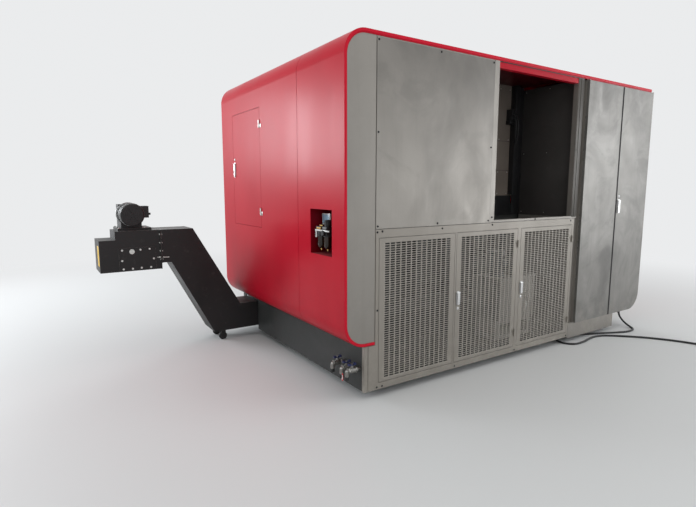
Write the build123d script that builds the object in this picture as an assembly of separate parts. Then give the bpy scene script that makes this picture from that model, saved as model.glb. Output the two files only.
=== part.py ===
from build123d import *
import math
import os

# A slant-bed turning center. All sizes are in millimetres. The pieces are drawn from the
# service side: X runs along that side from the red end, Y runs into the machine, and Z runs
# up from the floor. At the end the whole machine is moved so that its origin is at the middle
# of its footprint.

# Body
body_length = 3565
body_depth = 2175
body_height = 2347
skin = 3                  # sheet of the covers
seam = 4                  # open joint between two fixed covers
clear = 0.3               # gap between faces that move past each other
running = 0.05            # radial clearance of a shaft in its bore

# Red shells
corner_radius = 160
shell_bottom = 371
shell_tuck = 236          # how far the shell turns in under the red end
shell_seam = 613
lip_width = 20
roof_band = 28
beam_depth = 76           # red beam over the open service bay

# Base
base_left = 150
end_overhang = 415        # how far the cabinet end stands out past the base
apron_setback = 55        # how far the base lies behind the front
base_right = body_length - end_overhang
base_front = body_depth - apron_setback
base_bottom = 60
base_floor = 100
plinth_height = 350
end_wall = 12
foot_radius = 45
foot_height = 14
foot_screw_radius = 14
frame_depth = 25          # depth of the frames on the service side

# Grey covers of the service side
lower_bottom = 56
lower_top = 1133
lower_end = 2402
lower_start = 240
toe_strip_start = 152
toe_strip_width = 29
door_bottom = 104
door_top = 1075
panel_starts = (269, 970, 1689)
panel_ends = (949, 1646, 2377)
door_gap = 3
door_thickness = 20
stile = 44
slot_columns = 8
slot_rows = 15
slot_open_x = 0.8         # share of the column pitch that is open
slot_open_z = 0.5
stop_lip = 12
upper_bottom = 1137
plate_end = 1306
bay_left = 1355
bay_right = 2349
jamb_end = 2430
sill_top = 1153
upper_frame_depth = 43
rail_width = 44

# Electrical cabinet
cabinet_left = 2434
cabinet_depth = 610
cabinet_bottom = 180
cabinet_headroom = 31     # between the cabinet and the top of the machine
leaf_headroom = 6
cabinet_top = body_height - cabinet_headroom
leaf_top = cabinet_top - leaf_headroom
cabinet_reveal = 41       # dark recess beside the left leaf
leaf_starts = (2479, 3028)
leaf_thickness = 21
leaf_corner_radius = 170
kick_start = 2406
kick_bottom = 40

# Lift handles
small_handle = (104, 36)   # height and width of the escutcheon
large_handle = (132, 42)
handle_depth = 9
handle_height = 592
cabinet_handle_height = 1225
handle_inset = 26
handle_pin_radius = 3

# Red access door
access_y = (1274, 1888)
access_z = (1072, 2041)
access_handle_height = 1559
hinge_radius = 6
hinge_length = 30

# Service recess
recess_y = (149, 432)
recess_z = (955, 1258)
recess_depth = 150
bowl_pitch = 84           # between the filter and the lubricator beside it
bowl_radius = 27
valve_height = 212
valve_y = (46, 112, 228)
valve_reach = 62          # how far the middle of a valve stands out from the base

# Slant bed, spindle and slides
bed_slant = 45
spindle_y = 1330
spindle_z = 1080
swing_height = 330        # spindle axis above the slant face
bed_start = 420
bed_inset = 150
bed_end = base_right - bed_inset
bed_back = 640
bed_up = 560              # slant face above and below the point under the spindle
bed_down = 230
rail_size = (34, 30)
saddle_rails = (480, 190)
tail_rails = (70, -160)
head_inset = 20
head_length = 630
head_end = bed_end - head_inset
head_start = head_end - head_length
head_radius = 185
journal_radius = 70
pulley_radius = 105
pulley_width = 80
pulley_grooves = 4
cylinder_radius = 88      # hydraulic cylinder behind the pulley
spindle_tail = 240        # pulley and cylinder together
bar_radius = 33
chuck_radius = 127
chuck_length = 135
jaw_width = 32
jaw_span = (58, 118)      # the jaw's foot, out from the spindle axis
jaw_travel = 4
saddle_start = 1300
saddle_length = 420
saddle_height = 110
turret_up = 430
turret_radius = 165
turret_thickness = 95
tool_reach = 62
turret_pin_radius = 45
turret_faces = 12
tail_start = 640
tail_length = 330
quill_radius = 50
quill_length = 440

# Operator side
front_panel_bottom = 620
front_panel_z = (front_panel_bottom, body_height - skin)
front_opening_x = (950, 2280)
front_opening_z = (720, 2050)
opening_corner = 25
slide_door_x = (900, 2330)
slide_door_z = (690, 2080)
slide_door_thickness = 32
slide_window_x = (1150, 2060)
slide_window_z = (1130, 1900)
window_corner = 60
door_bar_z = (1180, 1640)
door_bar_post = 25        # from each end of the bar to its post
slide_travel = 860
glass_thickness = 8
pendant_x = (150, 700)
pendant_z = (1120, 1760)
pendant_depth = 110
pendant_pin_radius = 20
stop_stem_radius = 11
stop_travel = 5
stop_seat = 4             # how deep the stem sits in its socket

# Chip conveyor
conveyor_width = 280
conveyor_gap = 70         # between the conveyor and the front of the base
conveyor_y = (base_front - conveyor_gap - conveyor_width, base_front - conveyor_gap)
conveyor_bottom = 95
conveyor_top = 330
conveyor_end = 2600
conveyor_wall = 5
riser_foot = -270
riser_back = -20
head_left = -1170
head_step = -1050
head_right = -430
head_bottom = 720
head_nose_top = 980
head_top = 1050
riser_lip = (-700, 770)
drive_x = -930
drive_z = 880
sprocket_radius = 88
drive_shaft_radius = 20
motor_x = -910
motor_z = 1180
motor_radius = 92
wheel_radius = 36
wheel_width = 28
wheel_axle_radius = 5
belt_thickness = 6
belt_pitch = 100          # between the hinges of the belt
belt_knuckle = 4.9        # radius of a hinge eye
side_plate_x = (-1030, -745)
side_plate_z = (724, 912)

# Mains cable
cable_diameter = 18
coil_radius = 108          # middle of the outer turns
plug_radius = 33
gland_nut = 10
gland_inset = 185         # from the cabinet's end of the machine
gland_y = 62


def block(x_span, y_span, z_span):
    """A box between two planes on each axis."""
    spans = (x_span, y_span, z_span)
    size = [span[1] - span[0] for span in spans]
    middle = [(span[0] + span[1]) / 2 for span in spans]
    return Pos(*middle) * Box(*size)


def rod(start, end, radius):
    """A round bar between two points."""
    line = Vector(*end) - Vector(*start)
    return extrude(Plane(origin=start, z_dir=line) * Circle(radius), line.length)


def run_x(section, x_span):
    """A section drawn in Y and Z, carried along X."""
    return extrude(Plane.YZ.offset(x_span[0]) * section, x_span[1] - x_span[0])


def run_y(outline, y_span):
    """An outline drawn in X and Z, carried along Y."""
    return extrude(Plane.XZ.offset(-y_span[1]) * outline, y_span[1] - y_span[0])


def run_z(outline, z_span):
    """An outline drawn in X and Y, carried up Z."""
    return extrude(Plane.XY.offset(z_span[0]) * outline, z_span[1] - z_span[0])


def polygon(points, radii=0):
    """A closed outline through the points, with its corners rounded."""
    if radii == 0:
        return make_face(Polyline(*points, close=True))
    return make_face(FilletPolyline(*points, radius=radii, close=True))


def sheet(u_span, v_span, radii=0):
    """A rectangle; the radii start at the lower left corner and go round to the right."""
    points = (
        (u_span[0], v_span[0]),
        (u_span[1], v_span[0]),
        (u_span[1], v_span[1]),
        (u_span[0], v_span[1]),
    )
    return polygon(points, radii)


def grown(span, amount):
    """A span made longer by the same amount at both ends."""
    return (span[0] - amount, span[1] + amount)


def middle(span):
    return (span[0] + span[1]) / 2


# Red shells

def c_section(side, roof):
    """The red end seen from the service side: roof, side and the turn under the side."""
    points = (
        (shell_tuck, shell_bottom),
        (0, shell_bottom),
        (0, body_height),
        (body_length, body_height),
        (body_length, body_height - roof),
        (side, body_height - roof),
        (side, shell_bottom + side),
        (shell_tuck, shell_bottom + side),
    )
    outer = corner_radius
    inner = corner_radius - side
    return polygon(points, (0, outer, outer, 0, 0, inner, inner, 0))


def rear_shell():
    """Red sheet over the service bay, with the bright lip and the beam over the open bay."""
    wall = run_y(c_section(skin, skin), (0, shell_seam - seam / 2))
    lip = run_y(c_section(lip_width, roof_band), (0, skin))
    beam = block(
        (bay_left, bay_right),
        (skin, upper_frame_depth),
        (body_height - beam_depth, body_height - skin),
    )
    hole = block((-1, skin + 1), recess_y, recess_z)
    return wall + lip + beam - hole


def front_shell():
    """Red sheet over the working area, with the doorway in its side."""
    wall = run_y(c_section(skin, skin), (shell_seam + seam / 2, body_depth))
    lip = run_y(c_section(lip_width, lip_width), (body_depth - skin, body_depth))
    doorway_y = grown(access_y, door_gap)
    doorway_z = grown(access_z, door_gap)
    hole = block((-1, skin + 1), doorway_y, doorway_z)
    ring = block((skin, frame_depth), grown(doorway_y, rail_width), grown(doorway_z, rail_width))
    ring -= block((0, door_thickness + clear), doorway_y, doorway_z)
    ring -= block((0, body_length), grown(doorway_y, -stop_lip), grown(doorway_z, -stop_lip))
    shell = wall + lip - hole + ring
    for place in access_hinges():
        shell += place * hinge_half(-1)
    return shell


# Hinges and handles, drawn for a door in a face that looks along -Y

def hinge_half(side):
    """One knuckle with its leaf; side is 1 for the door and -1 for the frame."""
    low = clear / 2 if side > 0 else -hinge_length
    high = hinge_length if side > 0 else -clear / 2
    knuckle = rod((0, -hinge_radius, low), (0, -hinge_radius, high), hinge_radius)
    leaf = block((1, 26), (-2, 0), (low, high))
    if side > 0:
        leaf = mirror(leaf, about=Plane.YZ)
    return knuckle + leaf


def access_hinges():
    """Places of the access door's hinges, in the joint beside the door."""
    y = access_y[0] - door_gap / 2
    return [Pos(0, y, z) * Rot(0, 0, -90) for z in (access_z[0] + 130, access_z[1] - 130)]


def mesh_hinges(index):
    """Places of a slotted door's hinges, in the joint at its right edge."""
    x = panel_ends[index] + door_gap / 2
    return [Pos(x, 0, z) for z in (door_bottom + 120, door_top - 120)]


def handle_seat(size):
    """Escutcheon with two ears and the pin that the handle turns on."""
    height, width = size
    plate = run_y(sheet((-width / 2, width / 2), (-height / 2, height / 2), width * 0.45), (-2, 0))
    pin_z = height / 2 - 12
    pin_y = -2 - clear - handle_depth / 2
    ear_x = width / 2 - 2.5
    ears = [block(grown((side * ear_x, side * ear_x), 2.5), (pin_y - 4, 0), grown((pin_z, pin_z), 4))
            for side in (-1, 1)]
    pin = rod((-ear_x, pin_y, pin_z), (ear_x, pin_y, pin_z), handle_pin_radius)
    return plate + ears + pin


def handle_lever(size):
    """Lift lever that folds out from the escutcheon, rounded about its pin."""
    height, width = size
    back = -2 - clear
    pin_z = height / 2 - 12
    pin_y = back - handle_depth / 2
    half = width / 2 - 5 - clear
    rounding = (half * 0.6, half * 0.6, 0, 0)
    lever = run_y(sheet((-half, half), (3 - height / 2, pin_z), rounding), (back - handle_depth, back))
    lever += rod((-half, pin_y, pin_z), (half, pin_y, pin_z), handle_depth / 2)
    return lever - rod((-width, pin_y, pin_z), (width, pin_y, pin_z), handle_pin_radius + running)


mesh_handles = [
    Pos(panel_starts[index] + handle_inset - 2, 0, handle_height) for index in (1, 2)
]
cabinet_handle = Pos(leaf_starts[1] + handle_inset + 12, -1 - leaf_thickness, cabinet_handle_height)
access_handle = Pos(0, access_y[1] - handle_inset - 12, access_handle_height) * Rot(0, 0, -90)


def access_door():
    """Folded red door in the doorway of the red end."""
    door = block((0, door_thickness), access_y, access_z)
    door -= block((2, door_thickness + 1), grown(access_y, -2), grown(access_z, -2))
    for place in access_hinges():
        door += place * hinge_half(1)
    return door + access_handle * handle_seat(large_handle)


# Service side

def column_plate():
    """Grey plate inside the red lip, with its edge folded in beside the upper frame."""
    x_span = (skin + 0.5, shell_tuck)
    z_span = (shell_bottom + skin + 0.5, body_height - skin - 0.5)
    inner = corner_radius - skin - 0.5
    plate = run_y(sheet(x_span, z_span, (0, 0, 0, 0)), (skin, 2 * skin))
    corners = run_y(sheet(x_span, z_span, (inner, 0, 0, inner)), (skin, 2 * skin))
    return plate & corners


def upper_plate():
    """Large plate screwed over the left half of the upper frame."""
    return block((lower_start, plate_end - 1), (0, skin), (upper_bottom, body_height - roof_band - 8))


def bay_frame():
    """Upper frame: posts, sill and top rail, with one covered and one open bay."""
    back = (skin, upper_frame_depth)
    full = (0, upper_frame_depth)
    under_roof = body_height - skin
    under_band = body_height - roof_band - 1
    frame = block((shell_tuck - 10, lower_start + rail_width), (2 * skin, upper_frame_depth),
                  (upper_bottom, under_roof))
    frame += block((lower_start, plate_end), back, (under_band - rail_width, under_roof))
    frame += block((lower_start, plate_end), back, (upper_bottom, upper_bottom + rail_width))
    for x_span in ((plate_end, bay_left), (bay_right, jamb_end)):
        frame += block(x_span, full, (upper_bottom, under_band))
        frame += block(x_span, back, (under_band, under_roof))
    frame += block((bay_left, bay_right), full, (upper_bottom, sill_top))
    # The bottom rail hangs behind the lower frame's top rail
    frame += block((lower_start, lower_end), (frame_depth, upper_frame_depth),
                   (lower_top - rail_width / 2, upper_bottom))
    return frame


def bay_back_wall():
    """Inner wall at the back of the open bay, hung from the roof."""
    return block((plate_end, cabinet_left - 124), (cabinet_depth, cabinet_depth + skin),
                 (1325, body_height - skin))


def lower_frame():
    """Frame round the three slotted panels, with a stop lip behind each of them."""
    outline = sheet((toe_strip_start, lower_end), (lower_bottom, lower_top))
    outline -= sheet((0, lower_start), (shell_bottom - seam, body_height))
    frame = run_y(outline, (0, frame_depth))
    frame += block((shell_tuck - 10, lower_start), (2 * skin, frame_depth),
                   (shell_bottom + skin + 1, lower_top))
    toe_seam = toe_strip_start + toe_strip_width
    frame -= block((toe_seam, toe_seam + seam), (-1, frame_depth / 2), (0, shell_bottom))
    for start, end in zip(panel_starts, panel_ends):
        opening_x = grown((start, end), door_gap)
        opening_z = grown((door_bottom, door_top), door_gap)
        frame -= block(opening_x, (-1, door_thickness + clear), opening_z)
        frame -= block(grown(opening_x, -stop_lip), (-1, frame_depth + 1), grown(opening_z, -stop_lip))
    for index in (1, 2):
        for place in mesh_hinges(index):
            frame += place * hinge_half(-1)
    return frame


def slotted_panel(index):
    """Folded panel with rows of punched slots in staggered columns."""
    x_span = (panel_starts[index], panel_ends[index])
    z_span = (door_bottom, door_top)
    panel = block(x_span, (0, door_thickness), z_span)
    panel -= block(grown(x_span, -2), (2, door_thickness + 1), grown(z_span, -2))
    field_x = grown(x_span, -stile)
    field_z = grown(z_span, -stile * 0.7)
    pitch_x = (field_x[1] - field_x[0]) / slot_columns
    pitch_z = (field_z[1] - field_z[0]) / (slot_rows + 0.5)
    slots = []
    for column in range(slot_columns):
        for row in range(slot_rows):
            x = field_x[0] + (column + 0.5) * pitch_x
            z = field_z[0] + (row + 0.5 + 0.5 * (column % 2)) * pitch_z
            slots.append(block(grown((x, x), pitch_x * slot_open_x / 2), (-1, 3),
                               grown((z, z), pitch_z * slot_open_z / 2)))
    return panel - slots


def slotted_door(index):
    """Slotted panel with its hinge knuckles and the seat of its handle."""
    door = slotted_panel(index)
    for place in mesh_hinges(index):
        door += place * hinge_half(1)
    return door + mesh_handles[index - 1] * handle_seat(small_handle)


# Electrical cabinet

def cabinet_outline(inset):
    """The cabinet seen from the service side, its lower right corner rounded."""
    return sheet((cabinet_left + inset, body_length - inset), (cabinet_bottom + inset, cabinet_top - inset),
                 (0, leaf_corner_radius - inset, 0, 0))


def cabinet_pivots():
    """The two vertical lines that the leaves turn on."""
    y = -1 - leaf_thickness + 4
    return ((leaf_starts[0] + 4, y), (body_length - 4, y))


def cabinet_body():
    """Cabinet with a folded front edge, on its stand and behind its kick plate."""
    body = run_y(cabinet_outline(0), (0, cabinet_depth))
    body -= run_y(cabinet_outline(skin), (skin, cabinet_depth - skin))
    body -= run_y(cabinet_outline(frame_depth), (-1, skin + 1))
    body -= block((cabinet_left - 1, cabinet_left + cabinet_reveal), (-1, frame_depth), (0, body_height))
    reveal_end = cabinet_left + cabinet_reveal + skin
    cabinet_z = (cabinet_bottom, cabinet_top)
    body += block((cabinet_left, reveal_end), (frame_depth, frame_depth + skin), cabinet_z)
    body += block((reveal_end - skin, reveal_end), (0, frame_depth + skin), cabinet_z)
    stand = block((cabinet_left, base_right), (frame_depth, cabinet_depth - 40), (base_floor, cabinet_bottom))
    kick = block((kick_start, base_right), (0, frame_depth), (kick_bottom, cabinet_bottom))
    body += stand + kick
    for x, y in cabinet_pivots():
        arm = block((x - 4, x + 4), (y - 4, 3), (leaf_top + clear, cabinet_top))
        pin = rod((x, y, leaf_top - 20), (x, y, cabinet_top), 2)
        body += arm + pin
    return body + cable_gland()


def cable_gland():
    """Gland under the overhang of the cabinet, where the mains cable leaves."""
    x, y, z = cable_route[0]
    nut = extrude(Plane(origin=(x, y, z)) * RegularPolygon(cable_diameter * 0.9, 6), gland_nut)
    sleeve = rod((x, y, z + gland_nut), (x, y, cabinet_bottom), cable_diameter * 0.75)
    return nut + sleeve


def cabinet_leaf(index):
    """Folded door leaf of the cabinet."""
    x_end = leaf_starts[1] - 8 if index == 0 else body_length
    x_span = (leaf_starts[index], x_end)
    corner = leaf_corner_radius if index == 1 else 0
    y_span = (-1 - leaf_thickness, -1)
    leaf = run_y(sheet(x_span, (cabinet_bottom, leaf_top), (0, corner, 0, 0)), y_span)
    hollow = sheet(grown(x_span, -2), (cabinet_bottom + 2, leaf_top - 2), (0, max(corner - 2, 0), 0, 0))
    leaf -= run_y(hollow, (y_span[0] + 2, 0))
    x, y = cabinet_pivots()[index]
    eye = block((x - 4, x + 4), (y - 4, y + 5), (leaf_top - 30, leaf_top))
    leaf += eye
    leaf -= rod((x, y, leaf_top - 22), (x, y, leaf_top + 1), 2 + running)
    if index == 1:
        leaf += cabinet_handle * handle_seat(large_handle)
    return leaf


def cabinet_gear():
    """Mounting plate with drives, rows of breakers on their rails, wiring ducts and a transformer."""
    plate_y = cabinet_depth - skin - 18
    x_span = (cabinet_left + 120, body_length - 120)
    z_span = (cabinet_bottom + 220, cabinet_top - 130)
    gear = block(x_span, (plate_y, cabinet_depth - skin), z_span)
    drive_pitch = (x_span[1] - x_span[0]) / 7
    drive_z = (z_span[1] - 480, z_span[1] - 80)
    for count in range(5):
        left = x_span[0] + 60 + count * drive_pitch
        right = left + drive_pitch - 18
        face_y = plate_y - (210 if count else 250)
        drive = block((left, right), (face_y, plate_y), drive_z)
        # Cooling slots through the top of the drive's face, and a sunk terminal strip below
        for slot in range(5):
            z = drive_z[1] - 40 - 22 * slot
            drive -= block((left + 12, right - 12), (face_y - 1, face_y + 12), (z, z + 9))
        drive -= block((left + 8, right - 8), (face_y - 1, face_y + 30), (drive_z[0] - 1, drive_z[0] + 60))
        gear += drive
    for rail_z in (z_span[0] + 645, z_span[0] + 355):
        gear += breaker_row(grown(x_span, -40), plate_y, rail_z)
        gear += wiring_duct(grown(x_span, -30), plate_y, (rail_z - 175, rail_z - 100))
    gear += wiring_duct(grown(x_span, -30), plate_y, (drive_z[0] - 130, drive_z[0] - 55))
    transformer = block((x_span[0] + 60, x_span[0] + 330), (plate_y - 180, plate_y),
                        (z_span[0] + 10, z_span[0] + 130))
    return gear + transformer


def breaker_row(x_span, plate_y, rail_z):
    """Breakers of two widths side by side on a rail, each with a stepped front and its toggle."""
    rail = block(x_span, (plate_y - 8, plate_y), grown((rail_z, rail_z), 17))
    left = x_span[0] + 20
    breakers = []
    while left < x_span[1] - 80:
        width = 42 if len(breakers) % 2 else 74
        section = ((plate_y, rail_z - 44), (plate_y, rail_z + 44), (plate_y - 60, rail_z + 44),
                   (plate_y - 60, rail_z + 22), (plate_y - 74, rail_z + 22), (plate_y - 74, rail_z + 8),
                   (plate_y - 84, rail_z + 8), (plate_y - 84, rail_z - 4), (plate_y - 74, rail_z - 4),
                   (plate_y - 74, rail_z - 22), (plate_y - 60, rail_z - 22), (plate_y - 60, rail_z - 44))
        breakers.append(run_x(polygon(section), (left, left + width - 4)))
        left += width
    return rail + breakers


def wiring_duct(x_span, plate_y, z_span):
    """Closed wiring duct, its side walls cut into fingers."""
    depth = 70
    duct = block(x_span, (plate_y - depth, plate_y), z_span)
    fingers = 10
    pitch = (x_span[1] - x_span[0]) / fingers
    slots = []
    for finger in range(fingers):
        left = x_span[0] + (finger + 0.35) * pitch
        for edge in z_span:
            slots.append(block((left, left + pitch * 0.3), (plate_y - depth + 6, plate_y - 8),
                               grown((edge, edge), 5)))
    return duct - slots


# Red end: recess, air filter and valves

def service_recess():
    """Open box set into the red end, with a flange against the back of the sheet."""
    outer = block((skin, recess_depth), grown(recess_y, 3), grown(recess_z, 3))
    flange = block((skin, skin + 2), grown(recess_y, 18), grown(recess_z, 18))
    return outer + flange - block((0, recess_depth - 3), recess_y, recess_z)


def filter_centre():
    """X, Y and Z of the middle of the filter's head."""
    return (50, recess_y[0] + 134, recess_z[1] - 150)


def air_filter_unit():
    """Filter and lubricator on one bracket, with their bowls and the plate of the pressure switch."""
    x, y, z = filter_centre()
    unit = block((x + 20, recess_depth - 3), (y - 26, y + bowl_pitch + 26), (z - 6, z + 30))
    for place in (y, y + bowl_pitch):
        unit += block((x - 28, x + 28), (place - 30, place + 30), (z - 24, z + 34))
        unit += air_bowl(x, place, z - 24)
    unit += rod((x, y, z + 34), (x, y, z + 46), 15)
    unit += rod((x, y + bowl_pitch, z + 34), (x, y + bowl_pitch, z + 44), 13)
    # Flat bracket in front, a gauge on the filter's head, and the pressure switch behind
    unit += block((x - 36, x - 28), (y - 70, y + bowl_pitch + 24), (z + 2, z + 12))
    unit += rod((x - 46, y, z - 8), (x - 28, y, z - 8), 18)
    unit += block((x + 34, x + 46), (y + 26, y + bowl_pitch + 50), (z + 29, z + 118))
    return unit


def air_bowl(x, y, top):
    """Turned bowl with a collar, a round foot and a drain nipple."""
    outline = ((0, 0), (bowl_radius + 3, 0), (bowl_radius + 3, -14), (bowl_radius, -18),
               (bowl_radius, -84), (bowl_radius - 9, -104), (7, -108), (7, -120), (0, -120))
    section = Plane(origin=(x, y, top), x_dir=(1, 0, 0), z_dir=(0, -1, 0)) * polygon(outline)
    return revolve(section, Axis((x, y, top), (0, 0, 1)))


def regulator_knob():
    """Round knob with grip flutes and a hollow skirt over the filter head's collar."""
    x, y, z = filter_centre()
    z += 34
    knob = rod((x, y, z + clear), (x, y, z + 44), 22)
    knob = chamfer(knob.edges().group_by(Axis.Z)[-1], 3)
    for flute in range(8):
        turn = math.radians(45 * flute)
        place = (x + 24 * math.cos(turn), y + 24 * math.sin(turn))
        knob -= rod((*place, z + 10), (*place, z + 46), 4)
    return knob - rod((x, y, z), (x, y, z + 12 + clear), 15 + clear)


valve_places = [Pos(base_left - valve_reach, y, valve_height) for y in valve_y]


def valve_bank():
    """Three ball valves on pipes out of the base, each with a drain elbow and a stem."""
    bank = []
    for place in valve_places:
        pipe = rod((0, 0, 0), (valve_reach - clear, 0, 0), 12)
        body = rod((-30, 0, 0), (30, 0, 0), 19)
        for side in (-1, 1):
            nut = Plane(origin=(side * 22, 0, 0), z_dir=(side, 0, 0)) * RegularPolygon(22, 6)
            body += extrude(nut, 11)
        neck = rod((0, 0, 15), (0, 0, 34), 9)
        stem = rod((0, 0, 34), (0, 0, 41), 4)
        elbow = rod((-33, 0, 0), (-44, 0, 0), 15) + rod((-40, 0, 10), (-40, 0, -60), 13)
        bank.append(place * (pipe + body + neck + stem + elbow))
    return Compound(children=[solid for piece in bank for solid in piece.solids()])


def valve_lever(place):
    """Two-winged lever on the valve's stem, along the pipe while the valve is open."""
    bar = run_z(sheet((-28, 28), (-8, 8), 7), (34 + clear, 39))
    for side in (-1, 1):
        wing = grown((side * 22, side * 22), 9)
        bar += run_z(sheet(wing, (-11, 11), 6), (36, 47))
    hub = rod((0, 0, 34 + clear), (0, 0, 41), 12)
    return place * (bar + hub - rod((0, 0, 30), (0, 0, 50), 4 + running))


# Base, bed and slides

def conveyor_channel(gap):
    """The space that the conveyor runs in, with room all round."""
    return block((-500, conveyor_end + gap), grown(conveyor_y, gap), (0, conveyor_top + gap))


def machine_base():
    """Welded base: floor tray, plinth under the bed and the end wall under the red skirt."""
    y_span = (frame_depth, base_front)
    plinth_x = (base_left + 180, base_right)
    plinth_z = (base_floor, plinth_height)
    chip_edge = conveyor_y[0] - 14
    base = block((base_left, base_right), y_span, (base_bottom, base_floor))
    base += block(plinth_x, (bed_back - 20, conveyor_y[0] - 220), plinth_z)
    base += block((base_left, base_left + end_wall), y_span, (base_bottom, shell_bottom))
    base += block((base_right - end_wall, base_right), (cabinet_depth + 10, base_front), plinth_z)
    bed_foot = slant_point(-bed_down, 0)[0] - 60
    slope = ((bed_foot, plinth_height), (bed_foot, plinth_height + 150), (chip_edge, plinth_height + 22),
             (chip_edge, plinth_height))
    base += run_x(polygon(slope), plinth_x)
    base += block(plinth_x, (chip_edge - 46, chip_edge), plinth_z)
    base -= conveyor_channel(12)
    # Cross ties that the trough of the conveyor lies on
    for x in (bed_start, middle((bed_start, conveyor_end)), conveyor_end - 60):
        base += block(grown((x, x), 25), grown(conveyor_y, 13), (base_bottom, conveyor_bottom - clear))
    return base


def foot_places():
    return [(x, y) for x in (base_left + 150, 1150, 2150, base_right - 150) for y in (160, 1150, 1690)]


def levelling_feet():
    """Pads with their levelling screws under the base."""
    feet = []
    for x, y in foot_places():
        pad = rod((x, y, 0), (x, y, foot_height), foot_radius)
        screw = rod((x, y, foot_height), (x, y, base_bottom), foot_screw_radius)
        feet.append(pad + screw)
    return Compound(children=[solid for foot in feet for solid in foot.solids()])


slant_sin = math.sin(math.radians(bed_slant))
slant_cos = math.cos(math.radians(bed_slant))
slant_foot = (spindle_y - swing_height * slant_sin, spindle_z - swing_height * slant_cos)


def slant_point(up, out):
    """The Y and Z of a point, up the slant face and out from it."""
    return (slant_foot[0] - up * slant_cos + out * slant_sin,
            slant_foot[1] + up * slant_sin + out * slant_cos)


def slant_run(x_span, points, radii=0):
    """A section drawn up and out from the slant face, carried along X."""
    return run_x(polygon([slant_point(*point) for point in points], radii), x_span)


def slant_bar(x_span, up_span, out_span):
    corners = ((up_span[0], out_span[0]), (up_span[1], out_span[0]),
               (up_span[1], out_span[1]), (up_span[0], out_span[1]))
    return slant_run(x_span, corners)


def slant_bed():
    """Cast bed: a slant face over a ribbed back, low tracks between the rails and a chip lip."""
    top = slant_point(bed_up, 0)
    low = slant_point(-bed_down, 0)
    section = (
        (bed_back, plinth_height),
        (bed_back, top[1] - 40),
        (top[0] - 30, top[1]),
        top,
        low,
        (low[0], low[1] - 90),
        (low[0] - 60, low[1] - 160),
        (low[0] - 60, plinth_height),
    )
    bed = run_x(polygon(section), (bed_start, bed_end))
    pocket = sheet((bed_back - 1, bed_back + 120), (plinth_height + 90, top[1] - 160), (0, 45, 45, 0))
    bays = 7
    pitch = (bed_end - bed_start) / bays
    for bay in range(bays):
        left = bed_start + bay * pitch
        bed -= run_x(pocket, (left + 25, left + pitch - 25))
    # The face is machined only where rails and headstock sit; the tracks between lie lower
    ups = sorted(saddle_rails + tail_rails)
    for low_rail, high_rail in zip(ups, ups[1:]):
        track = grown((low_rail, high_rail), -rail_size[0])
        if track[1] > track[0]:
            bed -= slant_bar((bed_start - 1, head_start - 30), track, (-8, 1))
    return bed


def guide_rails():
    """Four linear guide rails on the slant face: two for the saddle, two for the tailstock."""
    width, height = rail_size
    rails = []
    for up in saddle_rails + tail_rails:
        section = (
            (up - width / 2, 0), (up + width / 2, 0), (up + width / 2, height * 0.35),
            (up + width * 0.34, height * 0.55), (up + width / 2, height * 0.8), (up + width / 2, height),
            (up - width / 2, height), (up - width / 2, height * 0.8),
            (up - width * 0.34, height * 0.55), (up - width / 2, height * 0.35),
        )
        rails.append(slant_run((bed_start + 30, head_start - 30), section))
    return Compound(children=[solid for rail in rails for solid in rail.solids()])


def rail_channel(x_span, up):
    """Room for one guide rail, cut out of what runs on it."""
    width, height = rail_size
    return slant_bar(grown(x_span, 1), grown((up, up), width / 2 + clear), (-1, height + clear))


def about_spindle(outline):
    """A turned form on the spindle's axis; the outline's points are X and radius."""
    section = Plane(origin=(0, spindle_y, spindle_z), x_dir=(1, 0, 0), z_dir=(0, -1, 0)) * polygon(outline)
    return revolve(section, Axis((0, spindle_y, spindle_z), (1, 0, 0)))


def headstock():
    """Cast headstock: a foot on the slant, a round housing with cooling ribs, and bearing covers."""
    ribs = 5
    pitch = (head_length - 100) / ribs
    outline = [(head_start - 12, 0), (head_start - 12, head_radius - 35), (head_start, head_radius - 35),
               (head_start, head_radius)]
    for rib in range(ribs):
        left = head_start + 50 + (rib + 0.3) * pitch
        outline += [(left, head_radius), (left + 4, head_radius + 16), (left + 14, head_radius + 16),
                    (left + 18, head_radius)]
    outline += [(head_end, head_radius), (head_end, head_radius - 35), (head_end + 12, head_radius - 35),
                (head_end + 12, 0)]
    foot = slant_run((head_start, head_end),
                     ((-215, 0), (300, 0), (300, 60), (150, swing_height), (-150, swing_height), (-215, 60)))
    head = about_spindle(outline) + foot
    for end, side in ((head_start, -1), (head_end, 1)):
        head -= about_spindle(((end, 0), (end, pulley_radius + 5), (end + 13 * side, pulley_radius + 5),
                               (end + 13 * side, 0)))
    return head - about_spindle(((head_start - 13, 0), (head_start - 13, journal_radius + running),
                                 (head_end + 13, journal_radius + running), (head_end + 13, 0)))


def spindle():
    """Hollow spindle: nose flange, journal, grooved belt pulley and the rotating cylinder."""
    nose_radius = 100
    pulley_start = head_end + clear
    outline = [(chuck_back, bar_radius), (chuck_back, nose_radius), (head_start - clear, nose_radius),
               (head_start - clear, journal_radius), (pulley_start, journal_radius)]
    groove = pulley_width / pulley_grooves
    outline.append((pulley_start, pulley_radius))
    for count in range(pulley_grooves):
        left = pulley_start + count * groove
        outline += [(left + 0.2 * groove, pulley_radius), (left + 0.5 * groove, pulley_radius - 8),
                    (left + 0.8 * groove, pulley_radius)]
    pulley_end = pulley_start + pulley_width
    tail = head_end + spindle_tail
    outline += [(pulley_end, pulley_radius), (pulley_end, journal_radius), (pulley_end + 14, journal_radius),
                (pulley_end + 14, cylinder_radius), (tail - 14, cylinder_radius),
                (tail, cylinder_radius - 14), (tail, bar_radius)]
    return about_spindle(outline)


def bar_hole(start, end):
    return rod((start - 1, spindle_y, spindle_z), (end + 1, spindle_y, spindle_z), bar_radius)


chuck_back = head_start - 20
chuck_face = chuck_back - chuck_length
jaw_angles = (0, 120, 240)


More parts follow.
